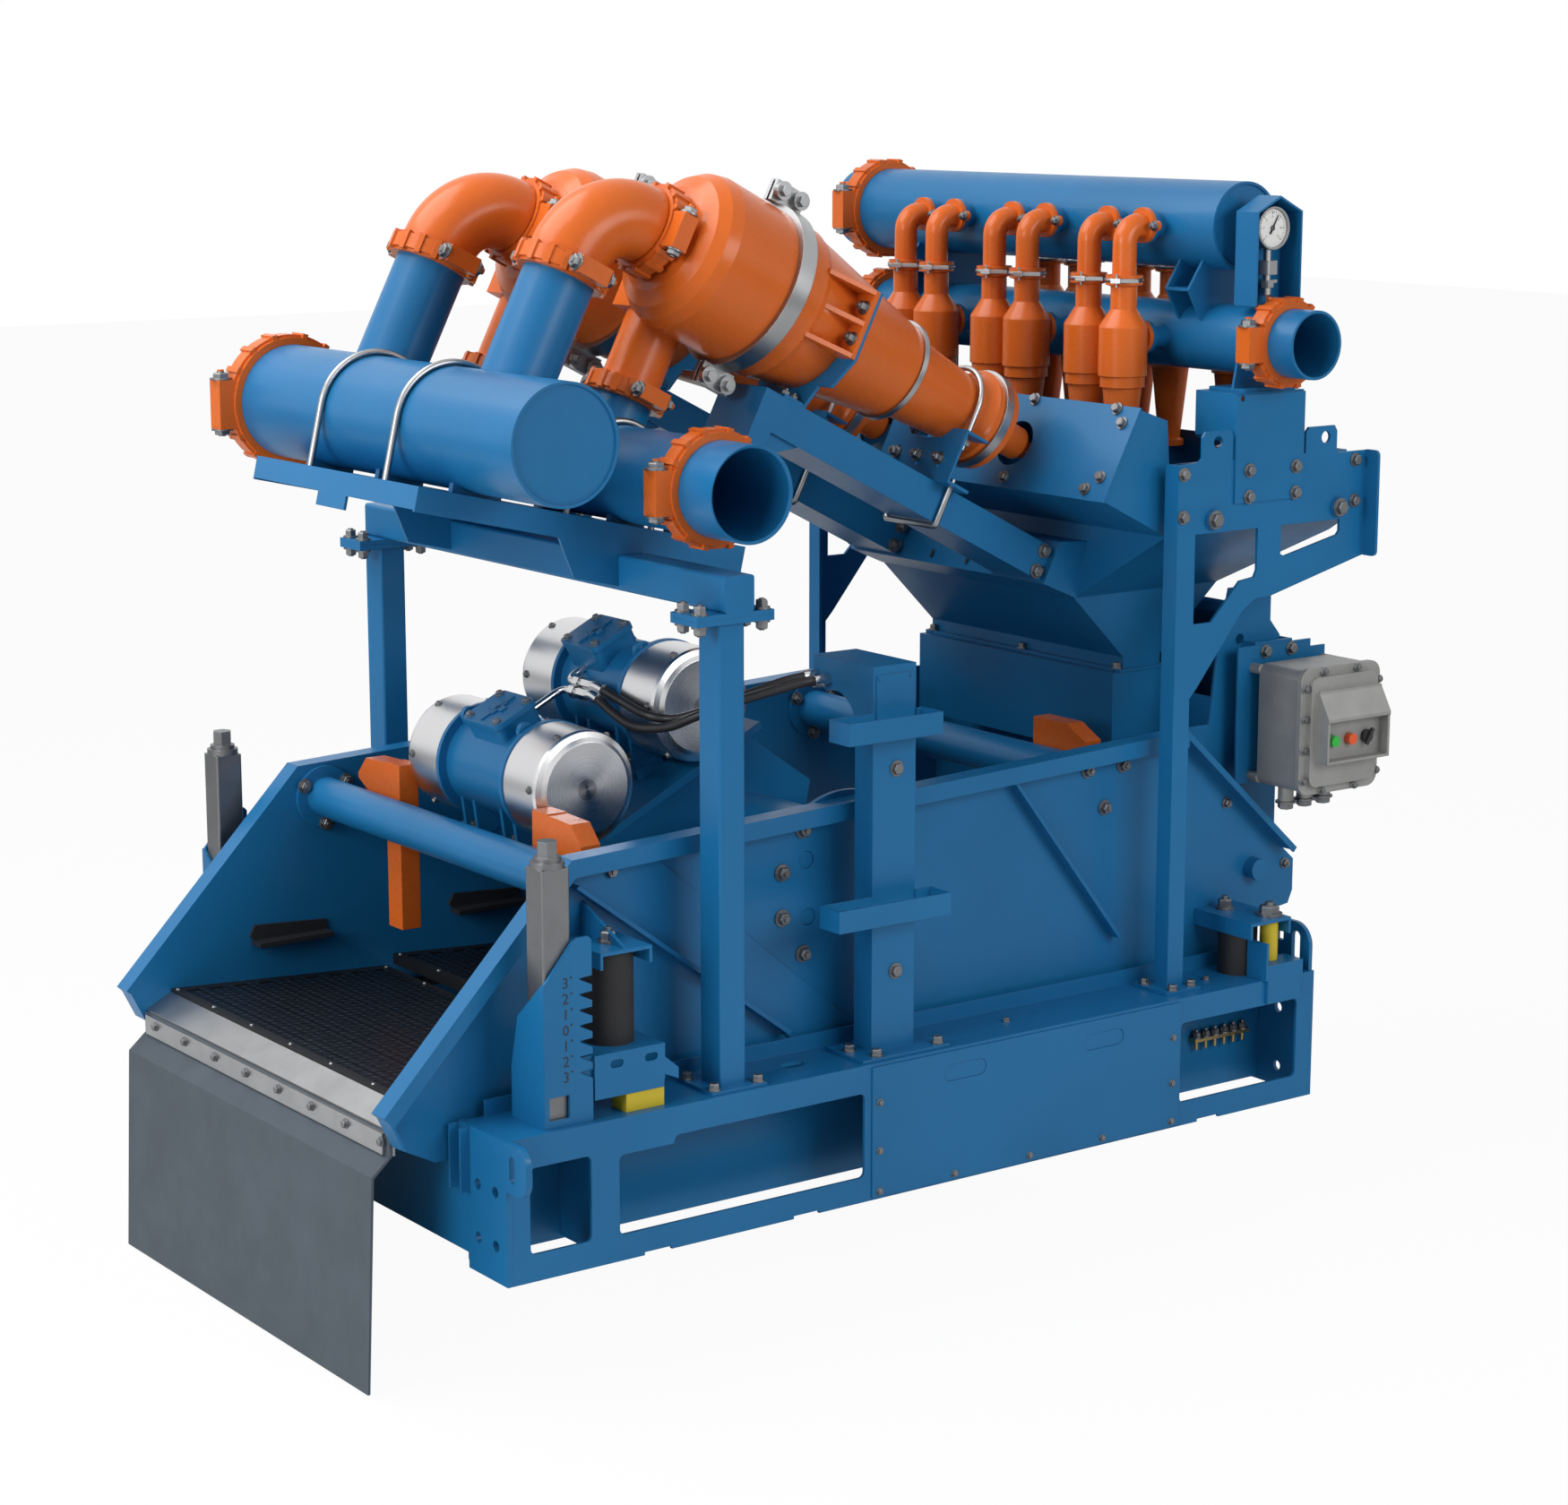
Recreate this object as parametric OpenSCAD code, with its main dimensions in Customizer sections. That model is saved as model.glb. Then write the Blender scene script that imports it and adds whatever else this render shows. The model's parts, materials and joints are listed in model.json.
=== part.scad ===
// Sieve hydrocyclone unit: a mud cleaner with a vibrating screen basket on rubber
// buffers, two sloping desander cones and a bank of twelve upright desilter cones.
// Millimetres. X runs from the discharge end to the feed end, Y away from the
// control side, Z up. The origin is the centre of the base frame's underside.

/* [Base frame] */
// Length of the base frame over its end plates
base_l = 2400; // [2390:5:2420]
// Width of the base frame over its side plates
base_w = 1650; // [1640:5:1660]
// Height of the base frame
base_h = 328; // [328:1:328]
// Sheet thickness of the side plates
side_t = 8; // [6:1:9]
// Thickness of the front end plate
front_t = 15; // [12:1:16]
// Width of the top ledge the machine stands on
ledge_w = 184; // [176:2:190]
// Diameter of the round holes in the end plates
end_hole_d = 26; // [20:1:30]

/* [Screen basket] */
// Inner width of the basket between its side panels
basket_w = 1212; // [1208:2:1216]
// Sheet thickness of the side panels
panel_t = 6; // [5:1:8]
// Outside diameter of the two cross tubes
cross_tube_d = 100; // [90:2:104]
// Outside diameter of the motor beam
beam_d = 300; // [280:5:310]
// Diameter of the rubber buffers
buffer_d = 112; // [100:2:116]
// Thickness of the rubber discharge flap
flap_t = 6; // [4:1:8]

/* [Vibration motors] */
// Diameter of the polished motor end covers
cover_d = 274; // [264:2:278]
// Length of each motor over its end covers
motor_l = 606; // [590:2:620]
// Diameter of the motor body
motor_d = 236; // [224:2:244]

/* [Pipework] */
// Outside diameter of the desander overflow header
overflow_d = 273; // [268:1:274]
// Outside diameter of the desander feed header
feed_d = 219; // [214:1:220]
// Outside diameter of the two risers and their elbows
riser_d = 168; // [162:1:168]
// Outside diameter of the desilter overflow header
desilter_top_d = 219; // [214:1:220]
// Outside diameter of the desilter feed header
desilter_feed_d = 168; // [162:1:170]
// Wall thickness of the pipes
pipe_wall = 7; // [5:1:9]

/* [Hydrocyclones] */
// Outside diameter of the desander heads
head_d = 382; // [372:2:384]
// Outside diameter of the desilter bodies
desilter_d = 122; // [116:1:126]

/* [Controls] */
// Diameter of the two push buttons
button_d = 28; // [24:1:30]
// Diameter of the pressure gauge
gauge_d = 104; // [96:1:106]
// Gap between a moving control and the piece it runs in
control_gap = 0.6; // [0.5:0.1:1]

/* [Hidden] */
$fn = 48;
eps = 0.01;

// half sizes and planes shared by the sub-parts
hl = base_l / 2;
hw = base_w / 2;
rear_t = 12;
web_y = hw - ledge_w;
web_t = 6;
ledge_t = 8;
front_sill = 225;
panel_y = basket_w / 2;
rail_w = 50;
rail_out = panel_y + panel_t + rail_w;
front_x0 = -hl + front_t;
rear_x1 = hl - rear_t;

// basket tubes and the edge the flap hangs from
lip_x = -1352;
front_tube = [-850, 792];
rear_tube = [667, 850];
beam_at = [-130, 701];

// motors
motor_1 = [-649, 939];
motor_2 = [-322, 1100];
motor_box_1 = [14, -10];
motor_box_2 = [-12, 34];
motor_tilt = 26.2;
foot_drop = 150;

// motor hoses: route points from the motor fittings to the cable tower
tower_x0 = -171;
hose_d = 22;
hose_upper = [[-480, -70, 1130], [-480, -100, 1130], [-482, -190, 1114], [-485, -300, 1098], [-450, -345, 1090],
              [-420, -400, 1105], [-330, -490, 1155], [-260, -535, 1185], [-215, -555, 1195], [-195, -555, 1195]];
hose_lower = [[-500, -80, 1112], [-500, -110, 1112], [-502, -180, 1088], [-508, -270, 1070], [-490, -330, 1070],
              [-470, -390, 1082], [-440, -450, 1112], [-360, -530, 1155], [-245, -588, 1188], [-215, -595, 1190],
              [-195, -595, 1190]];

// desander system: one sloping axis, the same for both cyclones
tilt = 27;
cone_y = 284;
axis_x = 243;
axis_z = 1862;
elbow_s = -953;
elbow_r = 152;
elbow_d = riser_d + 12;
inlet_s = -599;
inlet_y = 116;
inlet_d = 140;
pad_s = -265;
saddle_s = 176;
rail_x = 207;
rail_h = 90;
rail_in = 199;
rail_out_y = 378;
plate_s = 604;
leg_s = -380;
overflow_at = [-925, 1786];
feed_at = [-530, 1664];

// U-bolts along the two desander headers
strap_r = 8;
overflow_straps = [-190, 160];
feed_straps = [-264, 40];

// desilter bank
bank_x = 1070;
front_off = 215;
rear_off = 287;
cone_ys = [-438, -306, -66, 66, 306, 438];
bank_top_z = 2196;
bank_feed_z = 1921;

// rear frame
frame_y = 750;
frame_t = 8;

// helpers: shapes drawn in a plane and given a thickness
module xz(y, t) {
  translate([0, y + t, 0]) rotate([90, 0, 0]) linear_extrude(t) children();
}

module yz(x, t) {
  translate([x, 0, 0]) rotate([90, 0, 90]) linear_extrude(t) children();
}

module xy(z, t) {
  translate([0, 0, z]) linear_extrude(t) children();
}

module box(x0, x1, y0, y1, z0, z1) {
  translate([x0, y0, z0]) cube([x1 - x0, y1 - y0, z1 - z0]);
}

module rrect(x0, x1, y0, y1, r) {
  translate([x0 + r, y0]) square([x1 - x0 - 2 * r, y1 - y0]);
  translate([x0, y0 + r]) square([x1 - x0, y1 - y0 - 2 * r]);
  for (x = [x0 + r, x1 - r], y = [y0 + r, y1 - r]) {
    translate([x, y]) circle(r);
  }
}

module slot_x(x, y, l, w) {
  translate([x - (l - w) / 2, y - w / 2]) square([l - w, w]);
  translate([x - (l - w) / 2, y]) circle(d = w);
  translate([x + (l - w) / 2, y]) circle(d = w);
}

module slot_y(x, y, l, w) {
  translate([x - w / 2, y - (l - w) / 2]) square([w, l - w]);
  translate([x, y - (l - w) / 2]) circle(d = w);
  translate([x, y + (l - w) / 2]) circle(d = w);
}

module rod_y(x, z, y0, y1, r) {
  translate([x, y1, z]) rotate([90, 0, 0]) cylinder(h = y1 - y0, r = r);
}

module rod_z(x, y, z0, z1, r) {
  translate([x, y, z0]) cylinder(h = z1 - z0, r = r);
}

module both() {
  children();
  mirror([0, 1, 0]) children();
}

module bolt(r, h) {
  cylinder(h = h * 0.25, r = r * 1.5);
  translate([0, 0, h * 0.25]) cylinder(h = h * 0.75, r = r, $fn = 6);
}

// along the sloping axis of a desander cyclone: local z is the flow direction
module along(y) {
  translate([axis_x, y, axis_z]) rotate([0, 90 + tilt, 0]) children();
}

module cones() {
  along(-cone_y) children();
  along(cone_y) children();
}

// motor seats: local x climbs with the platform, local z is square to it
module on_platform(at) {
  translate([at[0], 0, at[1]]) rotate([0, -motor_tilt, 0]) children();
}

// base frame
module side_plan() {
  difference() {
    translate([front_x0, 0]) square([rear_x1 - front_x0, base_h]);
    rrect(-1141, -984, 62, 257, 14);
    rrect(-911, -236, 60, 243, 14);
    rrect(-765, -236, 150, 262, 14);
    rrect(746, 1142, 60, 264, 14);
    rrect(-176, 700, 50, 292, 14);
    for (x = [-810, -402, 843]) {
      translate([x - 36, -1]) square([72, 8]);
    }
  }
}

module base_side() {
  xz(-hw, side_t) side_plan();
  difference() {
    box(front_x0, rear_x1, -hw + side_t, -web_y, base_h - ledge_t, base_h);
    translate([-365, -720, base_h - 20]) linear_extrude(40) slot_x(0, 0, 62, 34);
    translate([-960, -770, base_h - 20]) cylinder(h = 40, r = 9);
  }
  box(front_x0, rear_x1, -hw + side_t, -hw + 80, 8, 16);
  difference() {
    box(front_x0, rear_x1, -web_y, -web_y + web_t, 8, base_h + 37);
    translate([-1200, -web_y - 1, base_h]) cube([60, web_t + 2, 60]);
    translate([1150, -web_y - 1, base_h]) cube([60, web_t + 2, 60]);
  }
}

module base_side_near() {
  color([0.13, 0.38, 0.60]) base_side();
}

module base_side_far() {
  color([0.13, 0.38, 0.60]) mirror([0, 1, 0]) base_side();
}

module front_plan() {
  difference() {
    union() {
      translate([-hw, 0]) square([162, base_h]);
      translate([hw - 162, 0]) square([162, base_h]);
      translate([-hw, 35]) square([base_w, base_h - 35]);
      for (s = [-1, 1]) {
        translate([s * (hw + 35), 0]) rrect(-48, 48, 216, base_h, 40);
        translate([s * (hw + 5) - 40, 216]) square([80, 112]);
      }
    }
    translate([-panel_y - panel_t - 14, front_sill]) square([2 * (panel_y + panel_t + 14), base_h]);
    for (s = [-1, 1]) {
      slot_y(s * (hw + 24), 271, 62, 22);
      for (y = [705, 778], z = [81, 203]) {
        translate([s * y, z]) circle(d = end_hole_d);
      }
    }
  }
}

module base_front_plate() {
  color([0.12, 0.34, 0.55]) {
    yz(-hl, front_t) front_plan();
    for (s = [-1, 1], y = [626, 672]) {
      box(-hl - 24, -hl, s * y - 3, s * y + 3, 178, base_h - 4);
    }
  }
}

module rear_plan() {
  difference() {
    union() {
      translate([-hw, 0]) square([base_w, base_h]);
      for (s = [-1, 1]) {
        translate([s * (hw - 80), 0]) rrect(-72, 80, 200, 446, 56);
        translate([s * (hw - 80) - 70, 260]) square([140, 100]);
      }
    }
    for (s = [-1, 1]) {
      slot_y(s * 769, 382, 80, 30);
      translate([s * 712 - 12, 388]) square([24, 26]);
      for (z = [52, 208]) {
        translate([s * 712, z]) circle(d = end_hole_d);
      }
    }
  }
}

module base_rear_plate() {
  color([0.12, 0.34, 0.55]) yz(rear_x1, rear_t) rear_plan();
}

module base_cross_members() {
  y1 = web_y - web_t;
  color([0.10, 0.30, 0.50]) {
    for (x = [-1080, -240, 720]) {
      difference() {
        box(x, x + 90, -y1, y1, 8, 108);
        box(x + 7, x + 91, -y1 - 1, y1 + 1, 15, 101);
      }
    }
    box(-45, 45, -y1, y1, 0, 108);
    for (x = [-950, 722], s = [-1, 1]) {
      translate([x, s > 0 ? web_y : -hw + side_t, 16]) cube([8, ledge_w - side_t, base_h - ledge_t - 16]);
    }
  }
}

module base_cover_panels() {
  color([0.14, 0.40, 0.62]) both() xz(-hw - 4, 4) difference() {
    rrect(-216, 740, 5, 320, 3);
    slot_x(58, 268, 128, 40);
    slot_x(490, 268, 128, 40);
  }
}

module earth_bar() {
  color([0.55, 0.50, 0.42]) {
    box(944, 1132, -web_y - 26, -web_y, 142, 150);
    for (i = [0:5]) {
      rod_z(958 + i * 32, -web_y - 14, 120, 142, 5);
      translate([958 + i * 32, -web_y - 14, 150]) bolt(9, 16);
    }
  }
}

// jacks, buffers and their brackets
module jack_legs() {
  color([0.55, 0.57, 0.58]) both() {
    difference() {
      translate([-1047, -762, base_h]) linear_extrude(570) rrect(-35, 35, -35, 35, 6);
      translate([-1047, -762, base_h + 60]) linear_extrude(600) square([58, 58], center = true);
    }
    rod_z(-1047, -762, 898, 912, 38);
    rod_z(-1047, -762, 912, 922, 30);
    translate([-1047, -762, 922]) cylinder(h = 34, r = 24, $fn = 6);
    rod_z(-1047, -762, base_h + 60, 898, 14);
  }
}

module jack_scale() {
  difference() {
    polygon([[-1088, base_h], [-966, base_h], [-966, 736], [-974, 744], [-1000, 744],
             [-1016, 736], [-1088, 650]]);
    rrect(-1078, -1026, 346, 398, 3);
    for (i = [0:6]) {
      translate([-966, 650 - i * 35]) polygon([[1, -15], [-30, 0], [-32, 4], [1, 6]]);
    }
  }
}

module jack_brackets() {
  color([0.14, 0.40, 0.62]) both() {
    xz(-808, 8) jack_scale();
    yz(-1090, 7) polygon([[-808, base_h], [-672, base_h], [-672, 440], [-700, 560], [-800, 652],
                          [-808, 652]]);
  }
}

module buffer_seats() {
  color([0.14, 0.40, 0.62]) both() {
    box(-960, -776, -800, -655, 464, 472);
    xz(-806, 6) difference() {
      polygon([[-960, 372], [-780, 372], [-776, 400], [-740, 384], [-740, 410], [-776, 440],
               [-776, 472], [-960, 472]]);
      slot_x(-902, 446, 34, 18);
      slot_x(-812, 446, 34, 18);
    }
    box(-1011, -960, -796, -720, 372, 472);
    box(1022, 1030, -hw - 10, -765, base_h, 425);
    box(1030, 1150, -hw - 10, -766, 360, 368);
    box(1030, 1142, -hw - 10, -hw, 268, 360);
    box(1142, 1150, -hw - 10, -766, base_h, 360);
  }
}

module rubber_buffers() {
  r = buffer_d / 2;
  color([0.09, 0.09, 0.10]) both() {
    rod_z(-862, -712, 472, 686, r);
    rod_z(1038, -712, base_h, 472, r - 6);
  }
}

module bracket_top(x0, x1, y0, z, drop) {
  y1 = -panel_y - panel_t;
  box(x0, x1, y0, y1, z, z + 8);
  box(x0, x0 + 7, y0, y1, z - drop, z);
  box(x1 - 7, x1, y0, y1, z - drop, z);
}

module buffer_brackets() {
  color([0.14, 0.40, 0.62]) both() {
    bracket_top(-932, -797, -790, 686, 30);
    yz(-868, 8) polygon([[-panel_y - panel_t, 694], [-790, 694], [-panel_y - panel_t, 768]]);
    bracket_top(980, 1118, -820, 472, 34);
    translate([-862, -712, 694]) bolt(15, 26);
    translate([1040, -660, 480]) bolt(15, 26);
    translate([1085, -775, 480]) bolt(22, 26);
  }
}

module shipping_spacers() {
  color([0.78, 0.70, 0.10]) both() {
    rod_z(1080, -781, 368, 472, 23);
    box(-875, -775, -800, -740, base_h, 372);
  }
}

// screen basket
panel_pts = [[-1344, 284], [-1356, 294], [-1394, 372], [-917, 868], [900, 948], [1325, 563],
             [1325, 480], [1310, 446], [1262, 440], [1080, 440], [1080, 330], [900, 262], [-1250, 236]];

module basket_plan() {
  difference() {
    polygon(panel_pts);
    for (p = [[-247, 775], [-242, 639]]) {
      translate(p) circle(21);
    }
  }
}

// a flat strip drawn beside the line from p to q, between two distances from it; the strips
// of one rail run 4 mm past each corner, so that they lap there
module strip(p, q, lo, hi) {
  lap = 4;
  translate(p) rotate(atan2(q[1] - p[1], q[0] - p[0]))
    translate([-lap, lo]) square([norm(q - p) + 2 * lap, hi - lo]);
}

module rail_strips(lows, hi) {
  strip([-1394, 372], [-917, 868], lows[0], hi);
  strip([-917, 868], [900, 948], lows[1], hi);
  strip([900, 948], [1280, 603.8], lows[2], hi);
}

// one side of the basket: the panel, its turned-out top flange and the lip along the flange
module basket_side() {
  xz(-panel_y - panel_t, panel_t) basket_plan();
  xz(-rail_out, rail_w + panel_t) {
    rail_strips([-3, -3, -3], 8);
    polygon([[-1394, 372], [-1386, 372], [-1348, 294], [-1356, 294]]);
  }
  xz(-rail_out, 6) rail_strips([-28, -34, -8], 8);
  rod_y(1175, 560, -panel_y - panel_t - 34, -panel_y - panel_t + 1, 28);
}

module basket_side_near() {
  color([0.14, 0.40, 0.63]) basket_side();
}

module basket_side_far() {
  color([0.14, 0.40, 0.63]) mirror([0, 1, 0]) basket_side();
}

module basket_stiffeners() {
  y0 = -panel_y - panel_t;
  color([0.13, 0.38, 0.60]) both() {
    xz(y0 - 5, 5) difference() {
      polygon([[-880, 858], [-700, 866], [-110, 360], [-290, 352], [-896, 802]]);
      translate([-791, 826]) circle(12);
    }
    translate([0, y0 - 40, 0]) rotate([90, 0, 0]) translate([0, 0, -40]) linear_extrude(35)
      polygon([[-900, 806], [-892, 812], [-312, 382], [-320, 374]]);
    translate([0, y0 - 40, 0]) rotate([90, 0, 0]) translate([0, 0, -40]) linear_extrude(35)
      polygon([[345, 896], [357, 896], [706, 452], [694, 452]]);
  }
}

module cross_tube(at) {
  rod_y(at[0], at[1], -panel_y, panel_y, cross_tube_d / 2);
  both() {
    difference() {
      rod_y(at[0], at[1], -panel_y, -panel_y + 10, 78);
      rod_y(at[0], at[1], -panel_y - 1, -panel_y + 11, cross_tube_d / 2 - 1);
    }
    for (a = [30, 150, 270]) {
      translate([at[0] + 67 * cos(a), -panel_y + 10, at[1] + 67 * sin(a)]) rotate([-90, 0, 0]) bolt(12, 14);
    }
  }
}

module cross_tubes() {
  color([0.18, 0.42, 0.68]) {
    cross_tube(front_tube);
    cross_tube(rear_tube);
  }
}

module motor_beam() {
  l = norm(motor_2 - motor_1);
  color([0.12, 0.36, 0.58]) {
    difference() {
      rod_y(beam_at[0], beam_at[1], -panel_y, panel_y, beam_d / 2);
      rod_y(beam_at[0], beam_at[1], -panel_y - 1, panel_y + 1, beam_d / 2 - 12);
    }
    both() difference() {
      rod_y(beam_at[0], beam_at[1], -panel_y, -panel_y + 12, 225);
      rod_y(beam_at[0], beam_at[1], -panel_y - 1, -panel_y + 13, beam_d / 2 - 1);
    }
    on_platform(motor_1) box(-150, l + 150, -250, 250, -foot_drop - 20, -foot_drop);
    for (y = [-210, -8, 194]) {
      difference() {
        xz(y, 16) polygon([[-690, 742], [-150, 1006], [60, 860], [30, 700], [-130, 560], [-280, 640]]);
        rod_y(beam_at[0], beam_at[1], y - 1, y + 17, beam_d / 2 - 1);
        on_platform(motor_1) box(-400, l + 400, y - 1, y + 17, -foot_drop - 20, 400);
      }
    }
  }
}

module screen_panels() {
  color([0.10, 0.10, 0.12]) {
    for (p = [[-1286, 338], [-664, 330], [-42, 322]]) {
      translate([p[0], 0, p[1]]) rotate([0, 3.4, 0]) {
        difference() {
          box(0, 600, -panel_y, panel_y, 0, 26);
          for (i = [0:1], j = [0:2]) {
            box(22 + i * 284, 290 + i * 284, -panel_y + 24 + j * 390, -panel_y + 400 + j * 390, 20, 30);
          }
        }
      }
    }
    both() box(-1290, 600, -panel_y, -panel_y + 24, 262, 284);
  }
}

module hold_down_angles() {
  color([0.08, 0.08, 0.09]) both() {
    for (x = [-1070, -500, 80]) {
      xz(-panel_y, 8) polygon([[x, 462], [x + 14, 490], [x + 214, 478], [x + 214, 446], [x + 14, 452]]);
      box(x + 8, x + 214, -panel_y, -panel_y + 46, 440, 452);
    }
  }
}

module clamp_posts() {
  color([0.80, 0.33, 0.10]) both() {
    difference() {
      union() {
        box(-802, -750, -372, -306, 500, 912);
        yz(-802, 52) polygon([[-306, 912], [-470, 906], [-512, 862], [-512, 850], [-440, 812], [-306, 812]]);
      }
      rod_y(front_tube[0], front_tube[1], -600, 600, cross_tube_d / 2);
    }
    difference() {
      yz(700, 52) polygon([[-300, 962], [-430, 962], [-500, 926], [-500, 880], [-300, 880]]);
      rod_y(rear_tube[0], rear_tube[1], -600, 600, cross_tube_d / 2);
    }
  }
}

module discharge_lip() {
  color([0.62, 0.62, 0.63]) {
    xz(-panel_y, 2 * panel_y) polygon([[-1286, 356], [lip_x, 322], [lip_x, 268], [lip_x + 6, 268],
                                       [lip_x + 6, 316], [-1286, 346]]);
    box(lip_x - flap_t - 8, lip_x - flap_t, -panel_y + 22, panel_y - 22, 268, 316);
  }
}

module discharge_flap() {
  t = flap_t;
  color([0.33, 0.36, 0.38]) xz(-603, 1206) polygon([[lip_x, 316], [lip_x, 266], [-1398, 224], [-1420, -264],
      [-1420 - t, -264], [-1398 - t, 228], [lip_x - t, 268], [lip_x - t, 316]]);
}

module feed_box() {
  color([0.13, 0.38, 0.60]) {
    // tall side plates beside the chute
    both() xz(-564, 8) difference() {
      polygon([[884, 940], [884, 620], [1040, 440], [1240, 440], [1300, 520], [1300, 1150], [1266, 1190],
               [1266, 1285], [1120, 1285], [1090, 1150], [1060, 940]]);
      translate([1160, 1150]) circle(14);
    }
    // inlet box behind the chute
    difference() {
      xz(-556, 1112) polygon([[1068, 1000], [1068, 520], [1240, 440], [1300, 520], [1300, 1150], [1266, 1190], [1266, 1220]]);
      xz(-548, 1096) polygon([[1076, 1300], [1076, 525], [1236, 450], [1292, 524], [1292, 1146], [1258, 1188], [1258, 1300]]);
    }
    both() box(1108, 1116, -panel_y, -564, 455, 760);
  }
}

// vibration motors
module motor_body(box_at) {
  hb = motor_l / 2 - 153;
  color([0.14, 0.40, 0.62]) {
    rod_y(0, 0, -hb + 12, hb - 12, motor_d / 2);
    for (s = [-1, 1]) {
      rod_y(0, 0, s > 0 ? hb - 12 : -hb, s > 0 ? hb : -hb + 12, cover_d / 2 + 3);
    }
    for (sx = [-1, 1], sy = [-1, 1]) {
      box(sx > 0 ? 70 : -150, sx > 0 ? 150 : -70, sy > 0 ? 60 : -130, sy > 0 ? 130 : -60, -foot_drop, -foot_drop + 26);
      translate([sx * 125, sy * 95, -foot_drop + 26]) bolt(16, 22);
    }
    for (sx = [-1, 1], y = [-122, -68, 56, 110]) {
      xz(y, 12) polygon([[sx * 70, -foot_drop + 26], [sx * 146, -foot_drop + 26], [sx * 112, -20], [sx * 70, -20]]);
    }
    translate([box_at[0], box_at[1], 0]) {
      translate([0, 0, 60]) linear_extrude(90) rrect(-60, 60, -76, 76, 18);
      translate([0, 0, 150]) linear_extrude(14) rrect(-64, 64, -80, 80, 20);
      for (x = [-46, 46], y = [-60, 60]) {
        translate([x, y, 164]) cylinder(h = 5, r = 8);
      }
    }
    for (y = [-134, 120]) {
      translate([0, 0, motor_d / 2 - 8]) xz(y, 14) difference() {
        union() {
          translate([0, 20]) circle(22);
          translate([-22, -20]) square([44, 40]);
        }
        translate([0, 20]) circle(10);
      }
    }
  }
}

module motor_bodies() {
  on_platform(motor_1) motor_body(motor_box_1);
  on_platform(motor_2) motor_body(motor_box_2);
}

module motor_cover_half() {
  h = motor_l / 2;
  rotate([90, 0, 0]) translate([0, 0, h - 153]) rotate_extrude() polygon([[0, 0], [cover_d / 2, 0],
      [cover_d / 2, 132], [cover_d / 2 - 3, 140], [cover_d / 2 - 16, 146], [cover_d / 2 - 26, 153], [0, 153]]);
}

module motor_covers() {
  color([0.78, 0.78, 0.79]) for (m = [motor_1, motor_2]) {
    on_platform(m) both() motor_cover_half();
  }
}

// motor hoses
function between(a, b, t) = a + (b - a) * t;

// point of a smooth curve through the route points, and the curve's direction there
function route_at(p, i, t) =
  let (a = p[max(i - 1, 0)], b = p[i], c = p[i + 1], d = p[min(i + 2, len(p) - 1)],
       m0 = (c - a) / 2, m1 = (d - b) / 2, t2 = t * t, t3 = t * t * t)
  b * (2 * t3 - 3 * t2 + 1) + m0 * (t3 - 2 * t2 + t) + c * (3 * t2 - 2 * t3) + m1 * (t3 - t2);

function route_dir(p, i, t) =
  let (a = p[max(i - 1, 0)], b = p[i], c = p[i + 1], d = p[min(i + 2, len(p) - 1)],
       m0 = (c - a) / 2, m1 = (d - b) / 2, t2 = t * t,
       v = b * (6 * t2 - 6 * t) + m0 * (3 * t2 - 4 * t + 1) + c * (6 * t - 6 * t2) + m1 * (3 * t2 - 2 * t))
  v / norm(v);

function tube_ring(at, dir, r, n) =
  let (side = cross(dir, [0, 0, 1]), u = side / norm(side), w = cross(u, dir))
  [for (k = [0:n - 1]) at + r * (cos(k * 360 / n) * u + sin(k * 360 / n) * w)];

module hose(p, r) {
  n = 12;
  steps = 2;
  last = len(p) - 2;
  rings = [for (i = [0:last], k = [0:steps - 1]) tube_ring(route_at(p, i, k / steps), route_dir(p, i, k / steps), r, n),
           tube_ring(p[last + 1], (p[last + 1] - p[last]) / norm(p[last + 1] - p[last]), r, n)];
  m = len(rings);
  pts = [for (q = rings, v = q) v];
  quads = [for (i = [0:m - 2], k = [0:n - 1])
           [i * n + k, i * n + (k + 1) % n, (i + 1) * n + (k + 1) % n, (i + 1) * n + k]];
  polyhedron(pts, concat(quads, [[for (k = [n - 1:-1:0]) k]], [[for (k = [0:n - 1]) (m - 1) * n + k]]));
}

module motor_hoses() {
  color([0.10, 0.10, 0.11]) {
    hose(hose_upper, hose_d / 2);
    hose(hose_lower, hose_d / 2);
  }
}

// distance of a point from a face of a motor's terminal box, square to the face
function box_gap(p, motor, x) =
  (p[0] - motor[0]) * cos(motor_tilt) + (p[2] - motor[1]) * sin(motor_tilt) - x;

module hose_end(at, gap) {
  // steel elbow from a terminal box, then two nuts up to the hose
  bend = 26;
  run = 90;
  side = gap > 0 ? -1 : 1;
  translate(at) {
    rotate([-90, 0, 0]) cylinder(h = 40, r = 15, $fn = 6);
    translate([0, 52, 0]) rotate([-90, 0, 0]) cylinder(h = 22, r = 17, $fn = 6);
    rotate([0, -motor_tilt, 0]) {
      rotate([-90, 0, 0]) cylinder(h = run, r = 9);
      translate([side * bend, run, 0]) rotate([0, 0, side > 0 ? 90 : 0]) rotate_extrude(angle = 90)
        translate([bend, 0]) circle(9);
      translate([side * bend, run + bend, 0]) rotate([0, side * 90, 0]) cylinder(h = abs(gap) - bend, r = 9);
    }
  }
}

module hose_fittings() {
  color([0.72, 0.73, 0.74]) {
    difference() {
      union() {
        hose_end(hose_lower[0], box_gap(hose_lower[0], motor_1, motor_box_1[0] + 60));
        hose_end(hose_upper[0], box_gap(hose_upper[0], motor_2, motor_box_2[0] - 60));
      }
      rod_y(motor_1[0], motor_1[1], -150, 150, motor_d / 2);
      rod_y(motor_2[0], motor_2[1], -150, 150, motor_d / 2);
    }
    for (h = [hose_upper, hose_lower]) {
      translate(h[len(h) - 1]) rotate([0, 90, 0]) cylinder(h = tower_x0 - h[len(h) - 1][0], r = 15, $fn = 6);
    }
  }
}

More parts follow.
